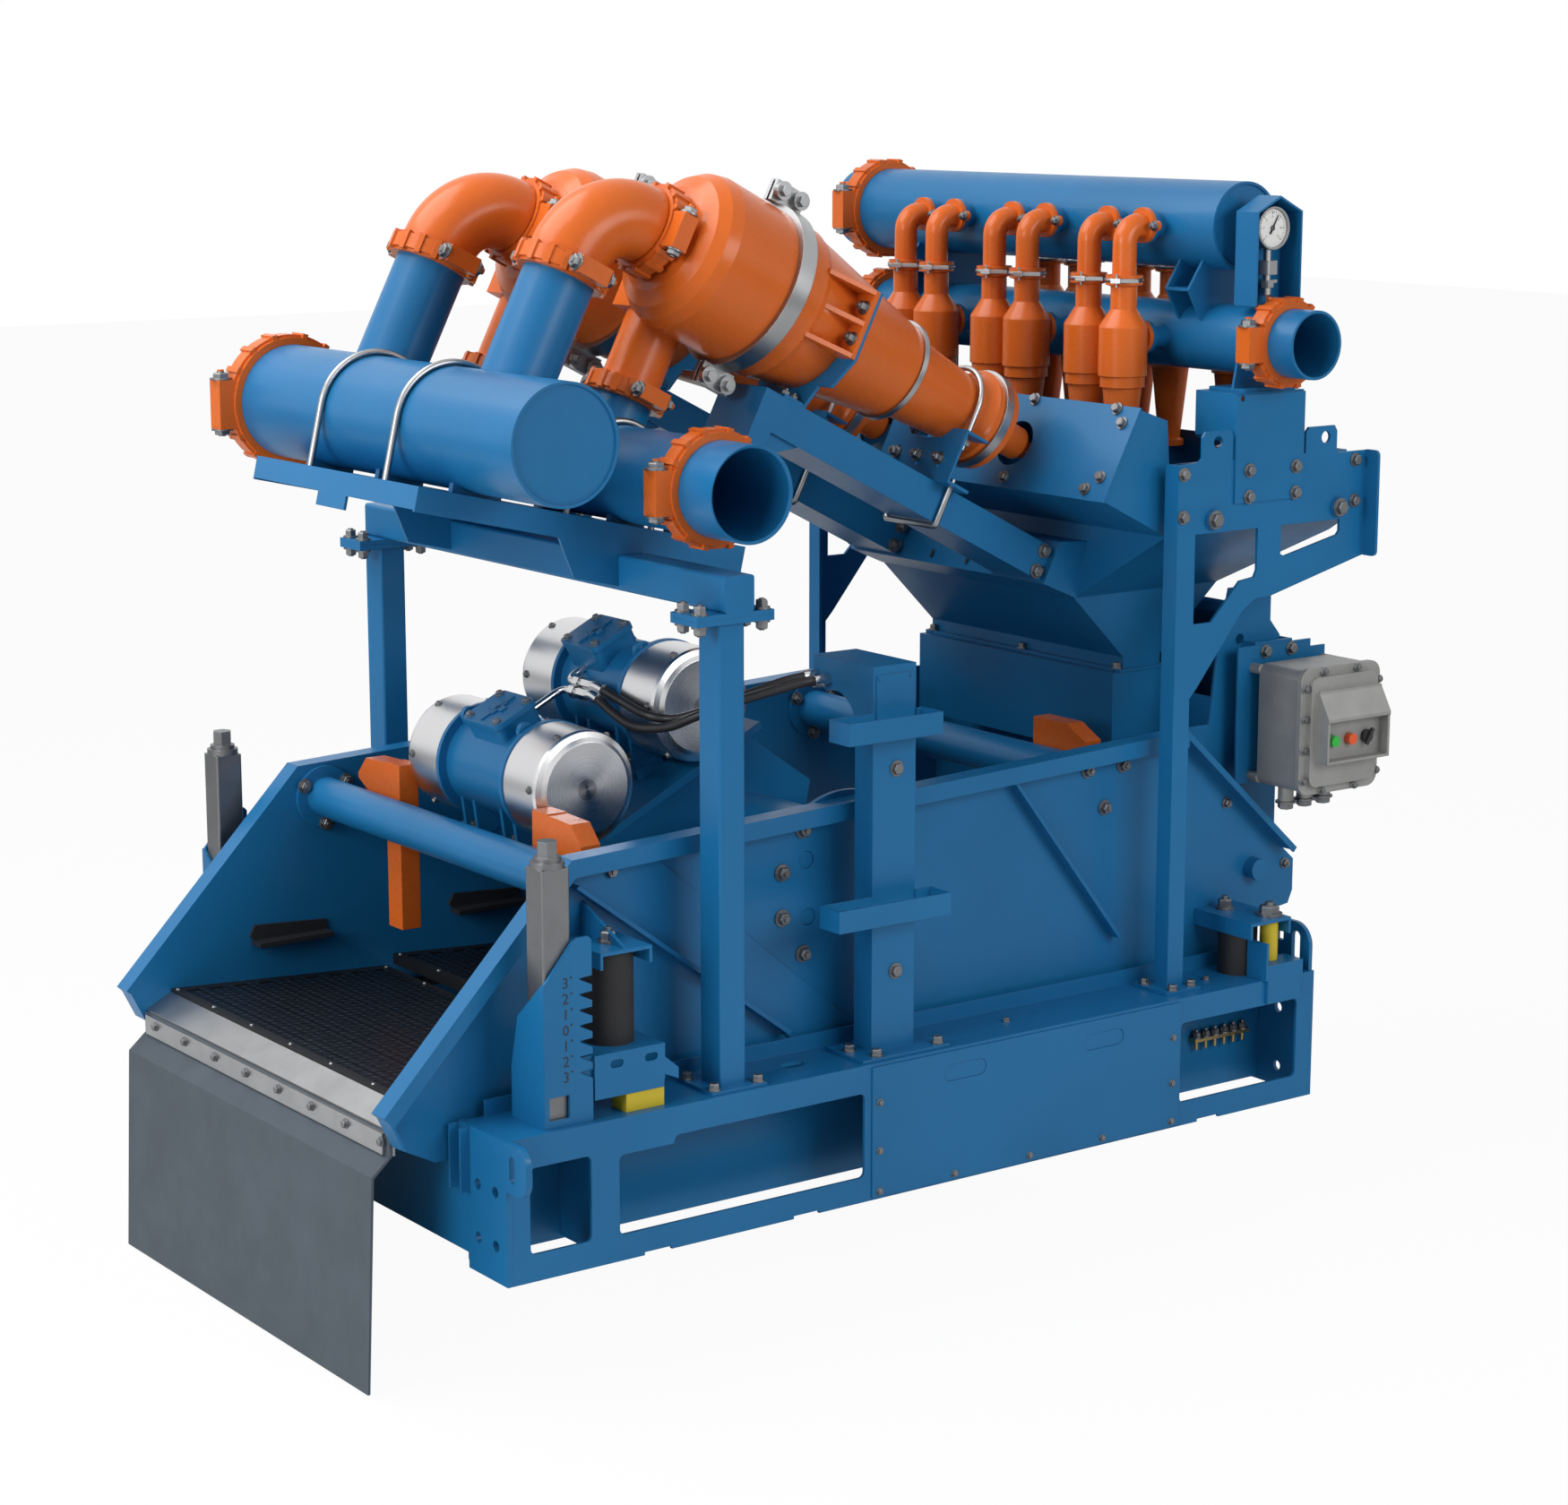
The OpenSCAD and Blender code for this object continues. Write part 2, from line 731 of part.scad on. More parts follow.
// cable tower
module strap(z, x0, x1, y) {
  box(x0, x1, y, y + 5, z, z + 52);
  box(x0, x0 + 5, y + 5, -764, z, z + 52);
  box(x1 - 5, x1, y + 5, -764, z, z + 52);
  box(x0 + 5, -171, -769, -764, z, z + 52);
  box(-47, x1 - 5, -769, -764, z, z + 52);
}

module cable_tower() {
  color([0.14, 0.40, 0.62]) {
    box(-234, 22, -815, -672, base_h, base_h + 8);
    difference() {
      box(-171, -47, -764, -696, base_h + 8, 1050);
      box(-165, -53, -758, -702, base_h + 20, 1040);
    }
    difference() {
      yz(-171, 124) difference() {
        polygon([[-764, 1050], [-696, 1050], [-696, 1100], [-536, 1190], [-536, 1242], [-764, 1242]]);
        translate([-620, 1090]) circle(78);
      }
      box(-163, -55, -752, -550, 1196, 1230);
    }
    box(-163, -55, -767, -764, 1080, 1222);
    for (x = [-155, -63], z = [1088, 1214]) {
      translate([x, -767, z]) rotate([90, 0, 0]) cylinder(h = 3, r = 5);
    }
    strap(1084, -296, -27, -840);
    strap(655, -322, 2, -840);
    for (x = [-210, -180, 0]) {
      translate([x, x == -180 ? -795 : (x == 0 ? -795 : -730), base_h + 8]) bolt(10, 16);
    }
    for (z = [520, 1000]) {
      translate([-103, -764, z]) rotate([90, 0, 0]) bolt(12, 12);
    }
  }
}

// front portal and header tray
module portal_posts() {
  color([0.14, 0.40, 0.62]) both() {
    difference() {
      translate([-580, -748, base_h + 8]) linear_extrude(1049) rrect(-35, 35, -40, 40, 6);
      translate([-580, -748, base_h + 20]) linear_extrude(1020) rrect(-29, 29, -34, 34, 4);
    }
    box(-655, -505, -815, -672, base_h, base_h + 8);
    box(-680, -474, -800, -696, 1385, 1397);
    for (x = [-640, -520], y = [-798, -690]) {
      translate([x, y, base_h + 8]) bolt(10, 16);
    }
    for (x = [-660, -494], y = [-780, -716]) {
      translate([x, y, 1385]) mirror([0, 0, 1]) bolt(12, 20);
    }
  }
}

module portal_beam() {
  color([0.13, 0.38, 0.60]) {
    difference() {
      translate([-567, 800, 1450]) rotate([90, 0, 0]) linear_extrude(1600) rrect(-39, 39, -41, 41, 8);
      translate([-567, 790, 1450]) rotate([90, 0, 0]) linear_extrude(1580) rrect(-33, 33, -35, 35, 5);
    }
    both() {
      box(-680, -474, -800, -696, 1397, 1409);
      for (x = [-660, -494], y = [-780, -716]) {
        translate([x, y, 1409]) bolt(12, 20);
      }
    }
  }
}

tray_tilt = 13.1;
tray_l = 893;
tray_hy = 378;
tray_t = 7;
tray_at = [-1122, 1684];

// height of a point above the tray's top, square to it
function tray_gap(at) = (at[0] - tray_at[0]) * sin(tray_tilt) + (at[1] - tray_at[1]) * cos(tray_tilt);

// tray frame: local x runs down the tray from its front fold, local z is its top
module on_tray() {
  translate([tray_at[0], 0, tray_at[1]]) rotate([0, tray_tilt, 0]) children();
}

module header_tray() {
  color([0.15, 0.41, 0.63]) difference() {
    on_tray() {
      box(0, tray_l, -tray_hy, tray_hy, -7, 0);
      box(0, 7, -tray_hy, tray_hy, -52, -7);
      yz(0, 7) polygon([[-70, -84], [60, -84], [60, -50], [-70, -50]]);
      both() xz(-tray_hy, 7) polygon([[0, -7], [0, -56], [380, -56], [440, -140], [700, -140], [730, -66],
                                      [780, -66], [800, -90], [tray_l, -90], [tray_l, -7]]);
      box(tray_l - 7, tray_l, -tray_hy, tray_hy, -40, -7);
    }
    box(-606 - eps, -528 + eps, -400, 400, 1300, 1491);
    for (y = overflow_straps) {
      strap_legs(overflow_at, overflow_d / 2 + strap_r + 0.3, strap_r + 1, y, 260);
    }
    for (y = feed_straps) {
      strap_legs(feed_at, feed_d / 2 + strap_r + 0.3, strap_r + 1, y, 260);
    }
  }
}

module strap_legs(at, r, w, y, l) {
  translate([at[0], y, at[1]]) rotate([0, tray_tilt, 0]) {
    for (s = [-1, 1]) {
      translate([s * r, 0, -l]) cylinder(h = l, r = w);
    }
  }
}

module strap_loop(at, pipe_r, w, y) {
  // round bar over a pipe, nutted under the tray
  r = pipe_r + w + 0.3;
  d = tray_gap(at) + tray_t;
  strap_legs(at, r, w, y, d + 22);
  translate([at[0], y, at[1]]) rotate([0, tray_tilt, 0]) {
    rotate([90, 0, 0]) rotate_extrude(angle = 180) translate([r, 0]) circle(w);
    for (s = [-1, 1]) {
      translate([s * r, 0, -d - 14]) cylinder(h = 14, r = w * 2, $fn = 6);
    }
  }
}

module header_straps() {
  color([0.60, 0.61, 0.62]) {
    for (y = overflow_straps) {
      strap_loop(overflow_at, overflow_d / 2, strap_r, y);
    }
    for (y = feed_straps) {
      strap_loop(feed_at, feed_d / 2, strap_r, y);
    }
  }
}

module pipe_y(at, y0, y1, d) {
  difference() {
    rod_y(at[0], at[1], y0, y1, d / 2);
    rod_y(at[0], at[1], y0 - 1, y1 + 1, d / 2 - pipe_wall);
  }
}

module pipe_saddle(at, d, y) {
  // folded cradle between a header and the tray
  difference() {
    translate([at[0], y, at[1]]) rotate([0, tray_tilt, 0]) box(-d * 0.22, d * 0.22, -8, 8, -160, -d * 0.3);
    rod_y(at[0], at[1], y - 20, y + 20, d / 2);
    on_tray() box(-50, tray_l + 50, -400, 400, -200, 0);
  }
}

module overflow_header() {
  color([0.22, 0.46, 0.70]) {
    difference() {
      union() {
        pipe_y(overflow_at, -665, 662, overflow_d);
        rod_y(overflow_at[0], overflow_at[1], -659, -651, overflow_d / 2 - pipe_wall + eps);
      }
      for (s = [-1, 1]) {
        along(s * cone_y) translate([50, 0, elbow_s]) rotate([0, 90, 0]) cylinder(h = 500, r = riser_d / 2 - pipe_wall);
      }
    }
    for (y = [-330, 0, 330]) {
      pipe_saddle(overflow_at, overflow_d, y);
    }
  }
}

module feed_header() {
  color([0.22, 0.46, 0.70]) {
    difference() {
      union() {
        pipe_y(feed_at, -796, 560, feed_d);
        rod_y(feed_at[0], feed_at[1], 552, 560, feed_d / 2 - pipe_wall + eps);
      }
      rotate([0, 0, 0]) translate([feed_at[0], -796, feed_at[1]]) rotate([-90, 0, 0])
        cylinder(h = 6, r1 = feed_d / 2 - 1, r2 = feed_d / 2 - pipe_wall - 0.5);
    }
    difference() {
      for (s = [-1, 1]) {
        along(s * cone_y) translate([345, inlet_y, inlet_s]) rotate([0, 90, 0]) cylinder(h = 182, r = inlet_d / 2);
      }
      rod_y(feed_at[0], feed_at[1], -800, 600, feed_d / 2 - pipe_wall);
    }
    for (y = [-330, -40, 300]) {
      pipe_saddle(feed_at, feed_d, y);
    }
  }
}

// desander cyclones
module risers() {
  color([0.20, 0.44, 0.68]) difference() {
    cones() translate([178, 0, elbow_s]) rotate([0, 90, 0]) cylinder(h = 380, r = riser_d / 2);
    rod_y(overflow_at[0], overflow_at[1], -700, 700, overflow_d / 2);
    cones() translate([177, 0, elbow_s]) rotate([0, 90, 0]) cylinder(h = 400, r = riser_d / 2 - pipe_wall);
  }
}

module desander_elbows() {
  color([0.82, 0.36, 0.14]) cones() {
    difference() {
      union() {
        translate([elbow_r, 0, elbow_s + elbow_r]) rotate([90, 0, 0]) rotate([0, 0, 180]) rotate_extrude(angle = 90)
          translate([elbow_r, 0]) circle(d = elbow_d);
        translate([elbow_r, 0, elbow_s]) rotate([0, 90, 0]) cylinder(h = 26, r = riser_d / 2);
        translate([0, 0, elbow_s + elbow_r]) cylinder(h = 16, r = riser_d / 2);
      }
      translate([elbow_r, 0, elbow_s + elbow_r]) rotate([90, 0, 0]) rotate([0, 0, 180]) rotate_extrude(angle = 90)
        translate([elbow_r, 0]) circle(riser_d / 2 - pipe_wall);
      translate([elbow_r, 0, elbow_s]) rotate([0, 90, 0]) cylinder(h = 27, r = riser_d / 2 - pipe_wall);
      translate([0, 0, elbow_s + elbow_r]) cylinder(h = 17, r = riser_d / 2 - pipe_wall);
    }
  }
}

module desander_heads() {
  r = head_d / 2;
  color([0.84, 0.38, 0.15]) cones() difference() {
    union() {
      rotate_extrude() polygon([[0, -785], [riser_d / 2, -785], [riser_d / 2, -742], [130, -734], [164, -716],
                                [r - 8, -690], [r, -660], [r, -490], [0, -490]]);
      translate([40, inlet_y, inlet_s]) rotate([0, 90, 0]) cylinder(h = 285, r = inlet_d / 2);
      box(-84, 150, inlet_y - 40, inlet_y + 78, inlet_s - 78, inlet_s + 78);
    }
    translate([0, 0, -786]) cylinder(h = 60, r = riser_d / 2 - pipe_wall);
    translate([120, inlet_y, inlet_s]) rotate([0, 90, 0]) cylinder(h = 206, r = inlet_d / 2 - pipe_wall);
  }
}

module desander_cones() {
  r = head_d / 2;
  color([0.84, 0.38, 0.15]) cones() {
    difference() {
      rotate_extrude() polygon([[0, -490], [r, -490], [r, -392], [184, -376], [122, -14], [122, 14], [104, 16],
                                [86, 232], [110, 262], [118, 268], [118, 296], [98, 300], [118, 304], [118, 332],
                                [42, 338], [42, 446], [38, 456], [0, 456]]);
      translate([0, 0, 330]) cylinder(h = 130, r = 30);
    }
    // cast side pads with ribs on both flanks
    for (m = [0, 1]) {
      mirror([0, m, 0]) difference() {
        union() {
          translate([-92, -216, pad_s - 12]) cube([170, 96, 12]);
          for (x = [-92, -14, 66]) {
            translate([x + 12, 0, 0]) rotate([0, -90, 0]) linear_extrude(12)
              polygon([[pad_s - 12, -216], [pad_s - 12, -120], [pad_s - 130, -120], [pad_s - 130, -178], [pad_s - 60, -200]]);
          }
          for (x = [-47, 32]) {
            translate([x, -194, pad_s - 11]) mirror([0, 0, 1]) bolt(11, 18);
          }
        }
        rotate_extrude() polygon([[0, -500], [186, -500], [182, -376], [120, -14], [0, -14]]);
      }
    }
  }
}

module ring_band(s, w, r_in, r_out) {
  translate([0, 0, s]) difference() {
    cylinder(h = w, r = r_out);
    translate([0, 0, -1]) cylinder(h = w + 2, r = r_in);
  }
}

module cone_bands() {
  r = head_d / 2;
  color([0.55, 0.56, 0.57]) cones() {
    ring_band(-490, 45, r, r + 15);
    for (sx = [-1, 1]) {
      translate([sx * (r + 14), 0, -468]) {
        box(sx > 0 ? 0 : -52, sx > 0 ? 52 : 0, -14, -4, -46, 46);
        box(sx > 0 ? 0 : -52, sx > 0 ? 52 : 0, 4, 14, -46, 46);
        for (z = [-28, 28]) {
          translate([sx * 30, -14, z]) rotate([90, 0, 0]) cylinder(h = 16, r = 22);
          translate([sx * 30, -30, z]) rotate([90, 0, 0]) cylinder(h = 12, r = 14, $fn = 6);
          translate([sx * 30, -4, z]) rotate([-90, 0, 0]) cylinder(h = 8, r = 10);
        }
      }
    }
    ring_band(-7, 14, 122, 129);
    ring_band(284, 24, 118, 126);
    // round bar strap over the second cone, nutted below the saddle's top fold
    translate([0, 0, saddle_s + 40]) rotate([0, 0, 180]) rotate([0, 0, -90]) rotate_extrude(angle = 180)
      translate([101, 0]) circle(7);
    for (y = [-101, 101]) {
      translate([0, y, saddle_s + 40]) rotate([0, 90, 0]) cylinder(h = 108, r = 7);
      translate([84, y, saddle_s + 40]) rotate([0, 90, 0]) cylinder(h = 12, r = 14, $fn = 6);
    }
  }
}

module coupling(r, w) {
  // two housing halves bolted together at ears on the local x axis
  ear = 0.3 * r + 18;
  difference() {
    union() {
      cylinder(h = w, r = r + 17, center = true);
      cylinder(h = w * 0.7, r = r + 24, center = true);
      for (a = [30, 52, 75, 105, 128, 150]) {
        for (m = [0, 180]) {
          rotate([0, 0, a + m]) translate([r + 20, 0, 0]) cube([17, 14, w * 0.94], center = true);
        }
      }
      for (s = [-1, 1]) {
        translate([s * (r + 30), 0, 0]) cube([49, 2 * ear, w * 0.82], center = true);
        translate([s * (r + 38), -ear - 10, 0]) rotate([-90, 0, 0]) cylinder(h = 20, r = w * 0.28);
        translate([s * (r + 38), ear - 4, 0]) rotate([-90, 0, 0]) cylinder(h = 19, r = w * 0.27, $fn = 6);
        translate([s * (r + 38), ear, 0]) rotate([-90, 0, 0]) cylinder(h = 24, r = 8);
      }
    }
    cylinder(h = w + 2, r = r, center = true);
  }
}

module pipe_couplings() {
  color([0.80, 0.34, 0.12]) {
    translate([overflow_at[0], 600, overflow_at[1]]) rotate([90, 0, 0]) coupling(overflow_d / 2, 62);
    translate([feed_at[0], -640, feed_at[1]]) rotate([90, 0, 0]) coupling(feed_d / 2, 60);
    cones() {
      translate([178, 0, elbow_s]) rotate([0, 90, 0]) rotate([0, 0, 90]) coupling(riser_d / 2, 50);
      translate([0, 0, elbow_s + elbow_r + 27]) rotate([0, 0, 90]) coupling(riser_d / 2, 50);
      translate([335, inlet_y, inlet_s]) rotate([0, 90, 0]) rotate([0, 0, 90]) coupling(inlet_d / 2, 46);
    }
    translate([bank_x, 811, bank_top_z]) rotate([90, 0, 0]) coupling(desilter_top_d / 2, 60);
    translate([bank_x, 790, bank_feed_z]) rotate([90, 0, 0]) coupling(desilter_feed_d / 2, 56);
    translate([bank_x, -785, bank_feed_z]) rotate([90, 0, 0]) coupling(desilter_feed_d / 2, 58);
  }
}

module cone_saddles() {
  y1 = rail_out_y - cone_y;
  color([0.13, 0.38, 0.60]) cones() {
    // upper saddle behind the cast pads, with a bolted foot on the rail
    difference() {
      translate([0, 0, pad_s]) linear_extrude(8) polygon([[-92, -216], [78, -216], [150, -168], [150, -120],
        [rail_x, -y1], [rail_x, y1], [150, 120], [150, 168], [78, 216], [-92, 216]]);
      translate([0, 0, pad_s - 1]) cylinder(h = 10, r = 166);
      translate([-300, -120, pad_s - 1]) cube([300, 240, 10]);
    }
    translate([rail_x - 8, -y1, pad_s - 60]) cube([8, 2 * y1, 60]);
    for (s = [pad_s - 44, pad_s - 18], y = [-70, 70]) {
      translate([rail_x - 8, y, s]) rotate([0, -90, 0]) bolt(8, 12);
    }
    // lower saddle: slotted upright, top fold and foot
    difference() {
      translate([0, 0, saddle_s]) linear_extrude(7) polygon([[68, -146], [rail_x, -146], [rail_x, 146], [68, 146],
        [68, 92], [96, 60], [100, 0], [96, -60], [68, -92]]);
      translate([0, 0, saddle_s - 1]) cylinder(h = 10, r = 98);
      for (y = [-84, 0, 84]) {
        translate([0, 0, saddle_s - 1]) linear_extrude(10) slot_x(152, y, 44, 15);
      }
    }
    for (m = [0, 1]) {
      mirror([0, m, 0]) difference() {
        translate([68, -146, saddle_s + 7]) cube([7, 58, 66]);
        translate([60, -101, saddle_s + 40]) rotate([0, 90, 0]) cylinder(h = 30, r = 7.5);
      }
    }
    translate([rail_x - 8, -146, saddle_s + 7]) cube([8, 292, 66]);
    for (y = [-84, 0, 84]) {
      translate([150, y, saddle_s]) mirror([0, 0, 1]) bolt(10, 20);
    }
  }
}

module cone_carriers() {
  color([0.15, 0.41, 0.63]) {
    for (m = [0, 1]) {
      mirror([0, m, 0]) difference() {
        along(0) {
          difference() {
            translate([rail_x, -rail_out_y, leg_s]) cube([rail_h, rail_out_y - rail_in, plate_s - leg_s]);
            translate([rail_x + 7, -rail_out_y + 7, leg_s + 7]) cube([rail_h - 14, rail_out_y - rail_in - 14, plate_s - leg_s]);
          }
          difference() {
            translate([rail_x + rail_h, -rail_out_y, leg_s]) cube([400, rail_out_y - rail_in, 57]);
            translate([rail_x + rail_h + 7, -rail_out_y + 7, leg_s + 7]) cube([400, rail_out_y - rail_in - 14, 43]);
          }
          for (y = [-rail_out_y + 10, -rail_in - 18]) {
            translate([0, y + 8, 0]) rotate([90, 0, 0]) linear_extrude(8)
              polygon([[rail_x + rail_h, leg_s + 57], [rail_x + rail_h + 62, leg_s + 57], [rail_x + rail_h, leg_s + 150]]);
          }
        }
        on_tray() box(-50, tray_l + 250, -420, 420, -600, 0);
      }
    }
  }
}

// hopper, lid and chute
hood_y = 677;
neck_y = 391;
hood_low = [591, 1555];
hood_high = [703, 1769];
hood_wall = 8;
tank_x1 = 1406;
tank_z1 = 1630;

// side outline: sloping hood, front wall, throat, rear wall and open tank
module hopper_side() {
  polygon([hood_high, hood_low, [795, 1453], [750, 1272], [920, 1103], [920, 1074], [1045, 1074], [1045, 1103],
           [tank_x1, 1420], [tank_x1, tank_z1], [800, tank_z1], [792, 1738]]);
}

module hopper_side_inner() {
  polygon([[706, 1756], [604, 1558], [808, 1456], [764, 1276], [930, 1108], [930, 1060], [1037, 1060], [1037, 1108],
           [tank_x1 - 8, 1426], [tank_x1 - 8, 1800], [800, 1800], [808, 1800], [808, 1660], [792, 1640], [784, 1731]]);
}

module hopper_end(y, z0) {
  polygon([[-y + 286, z0], [y - 286, z0], [y - 286, 1272], [y, 1453], [y, 1790], [-y, 1790], [-y, 1453],
           [-y + 286, 1272]]);
}

module hopper() {
  color([0.13, 0.38, 0.60]) {
    difference() {
      intersection() {
        xz(-hood_y, 2 * hood_y) hopper_side();
        yz(500, 1000) hopper_end(hood_y, 1000);
      }
      intersection() {
        xz(-hood_y, 2 * hood_y) hopper_side_inner();
        yz(500, 1000) hopper_end(hood_y - hood_wall, 990);
      }
      box(800, 1500, -700, 700, tank_z1, 1900);
      cones() translate([0, 0, 430]) cylinder(h = 80, r = 62);
    }
    // front cross beam that carries the cyclone rails
    difference() {
      xz(-neck_y - 8, 2 * neck_y + 16) polygon([[690, 1420], [640, 1319], [750, 1272], [762, 1320], [785, 1413]]);
      along(0) translate([-400, -500, plate_s - 200]) cube([900, 1000, 200]);
    }
    // bolting flange under the throat
    difference() {
      box(903, 1062, -neck_y - 8, neck_y + 8, 1066, 1074);
      box(930, 1037, -neck_y + 8, neck_y - 8, 1060, 1080);
    }
    for (y = [-375, 0, 375]) {
      translate([912, y, 1074]) bolt(9, 15);
    }
  }
}

module hopper_lid() {
  // bolted front lid, square to the cyclone axes
  a = atan2(hood_high[1] - hood_low[1], hood_high[0] - hood_low[0]);
  l = norm(hood_high - hood_low);
  color([0.17, 0.43, 0.66]) difference() {
    translate([hood_low[0], 0, hood_low[1]]) rotate([0, -a, 0]) {
      box(-4, l + 4, -hood_y - 4, hood_y + 4, 0, 5);
      for (y = [-603, -296, 296, 603], x = [23, l - 6]) {
        translate([x, y, 5]) bolt(10, 14);
      }
      for (y = [-640, 640], x = [58, l - 41]) {
        translate([x, y, 5]) bolt(10, 14);
      }
    }
    cones() translate([0, 0, 400]) cylinder(h = 100, r = 60);
  }
}

module chute() {
  color([0.12, 0.35, 0.57]) difference() {
    box(880, 1062, -neck_y - 5, neck_y + 5, 850, 1066);
    box(888, 1054, -neck_y + 3, neck_y - 3, 840, 1058);
    box(930, 1037, -neck_y + 8, neck_y - 8, 1050, 1070);
  }
}

// rear frame
module frame_plan() {
  difference() {
    polygon([[765, 336], [817, 336], [817, 1060], [840, 1084], [985, 1260], [1030, 1290], [1082, 1292],
             [1405, 1371], [1405, 1635], [1300, 1635], [1297, 1640], [1297, 1690], [1288, 1704], [1200, 1704],
             [1189, 1692], [1189, 1640], [943, 1640], [943, 1700], [933, 1713], [852, 1713], [842, 1700],
             [842, 1648], [830, 1640], [765, 1637]]);
    polygon([[824, 1465], [1033, 1465], [1033, 1360], [1025, 1344], [977, 1338], [884, 1244], [824, 1244]]);
    polygon([[1112, 1466], [1315, 1466], [1315, 1436], [1307, 1427], [1126, 1388], [1112, 1394]]);
    translate([893, 1686]) circle(15);
    translate([1258, 1676]) circle(15);
  }
}

module rear_frame_side() {
  xz(-frame_y, frame_t) frame_plan();
  box(765, 773, -frame_y + frame_t, -702, 336, 1637);
  yz(1397, 8) {
    translate([-frame_y, 1371]) square([8, 264]);
    rrect(-frame_y - 46, -frame_y + 8, 1369, 1637, 14);
  }
  box(728, 842, -790, -664, base_h, 336);
  for (x = [879, 1304]) {
    rod_y(x, 1498, -frame_y - 10, -frame_y, 25);
    translate([x, -frame_y - 10, 1498]) rotate([90, 0, 0]) cylinder(h = 16, r = 14, $fn = 6);
    rod_y(x, 1498, -frame_y + frame_t, -hood_y, 26);
  }
  for (p = [[781, 1614], [781, 1510], [1362, 1613], [1362, 1510]]) {
    translate([p[0], -frame_y, p[1]]) rotate([90, 0, 0]) bolt(11, 14);
  }
  for (p = [[745, -690], [760, -776], [828, -768]]) {
    translate([p[0], p[1], 336]) bolt(9, 14);
  }
}

module rear_frame_near() {
  color([0.15, 0.41, 0.63]) rear_frame_side();
}

module rear_frame_far() {
  color([0.15, 0.41, 0.63]) mirror([0, 1, 0]) rear_frame_side();
}

module rear_frame_ties() {
  y1 = frame_y - frame_t;
  color([0.12, 0.36, 0.58]) {
    both() {
      difference() {
        union() {
          box(947, 1177, -frame_y - 6, -frame_y, 1532, 1796);
          box(947, 1177, -frame_y, -608, 1640, 1800);
        }
        box(955, 1169, -frame_y, -600, 1632, 1792);
        xz(-frame_y + 30, 200) polygon([[940, 1640], [940, 1700], [985, 1640]]);
        rod_y(965, 1788, -800, -740, 7);
      }
      for (z = [1546, 1611], x = [992, 1149]) {
        translate([x, -frame_y - 6, z]) rotate([90, 0, 0]) bolt(11, 14);
      }
    }
  }
}

// desilter bank
module desilter_at(off, z) {
  // children face the header: local x runs from the cyclone towards it
  for (y = cone_ys) {
    if (off > 0) translate([bank_x - off, y, z]) children();
    if (off < 0) translate([bank_x - off, y, z]) mirror([1, 0, 0]) children();
  }
}

module desilter_stub(z, r, y) {
  // short branch with a flange ring for a clamp
  for (off = [front_off, -rear_off]) {
    difference() {
      desilter_at(off, z) {
        translate([72, 0, 0]) rotate([0, 90, 0]) cylinder(h = abs(off) - 72, r = r);
        translate([66, 0, 0]) rotate([0, 90, 0]) cylinder(h = 12, r = r + 12);
      }
      rod_y(bank_x, z, -1000, 1000, y);
    }
  }
}

module desilter_headers() {
  color([0.22, 0.46, 0.70]) {
    // each pipe is turned about its own axis, which keeps its seam line off the branches
    translate([bank_x, 0, bank_top_z]) rotate([0, -90, 0]) {
      pipe_y([0, 0], -640, 895, desilter_top_d);
      rod_y(0, 0, -634, -626, desilter_top_d / 2 - pipe_wall + eps);
    }
    translate([bank_x, 0, bank_feed_z]) rotate([0, -27, 0]) pipe_y([0, 0], -895, 870, desilter_feed_d);
    desilter_stub(bank_top_z, 31, desilter_top_d / 2 - 1);
    desilter_stub(bank_feed_z, 29, desilter_feed_d / 2 - 1);
    // folded cradles between the headers and down to the support boxes
    both() difference() {
      union() {
        for (y = [-560, -480]) {
          xz(y - 8, 8) polygon([[bank_x - 60, 2130], [bank_x + 60, 2130], [bank_x + 118, 2042], [bank_x + 70, 1960],
                                [bank_x - 70, 1960], [bank_x - 118, 2042]]);
        }
        box(bank_x - 118, bank_x + 118, -560, -488, 2038, 2046);
        xz(-700, 8) polygon([[bank_x - 86, 1800], [bank_x + 86, 1800], [bank_x + 60, 1930], [bank_x - 60, 1930]]);
        box(bank_x - 86, bank_x + 86, -740, -615, 1800, 1808);
      }
      rod_y(bank_x, bank_top_z, -800, 800, desilter_top_d / 2 - 1);
      rod_y(bank_x, bank_feed_z, -900, 900, desilter_feed_d / 2 - 1);
    }
  }
}

module desilter_cones() {
  r = desilter_d / 2;
  color([0.80, 0.34, 0.12]) for (off = [front_off, -rear_off]) desilter_at(off, 0) {
    rotate_extrude() polygon([[0, 1592], [40, 1592], [40, 1608], [29, 1612], [r - 12, 1798], [r - 5, 1800],
                              [r - 5, 1826], [r, 1828], [r, 1948], [r - 3, 1954], [33, 1992], [33, 2048], [46, 2052],
                              [46, 2064], [0, 2064]]);
    translate([r - 24, 0, bank_feed_z]) rotate([0, 90, 0]) cylinder(h = 66 - r + 24 - 12, r = 29);
    translate([54, 0, bank_feed_z]) rotate([0, 90, 0]) cylinder(h = 12, r = 41);
  }
}

module desilter_elbows() {
  color([0.82, 0.36, 0.14]) for (off = [front_off, -rear_off]) desilter_at(off, 0) {
    translate([0, 0, 2064]) cylinder(h = 12, r = 46);
    translate([0, 0, 2076]) cylinder(h = bank_top_z - 2076 - 42, r = 30);
    translate([42, 0, bank_top_z - 42]) rotate([90, 0, 0]) rotate([0, 0, 90]) rotate_extrude(angle = 90)
      translate([42, 0]) circle(30);
    translate([42, 0, bank_top_z]) rotate([0, 90, 0]) cylinder(h = 14, r = 30);
    translate([54, 0, bank_top_z]) rotate([0, 90, 0]) cylinder(h = 12, r = 44);
    for (s = [-1, 1]) {
      translate([54, s * 48, bank_top_z]) rotate([0, 90, 0]) cylinder(h = 12, r = 13);
    }
  }
}

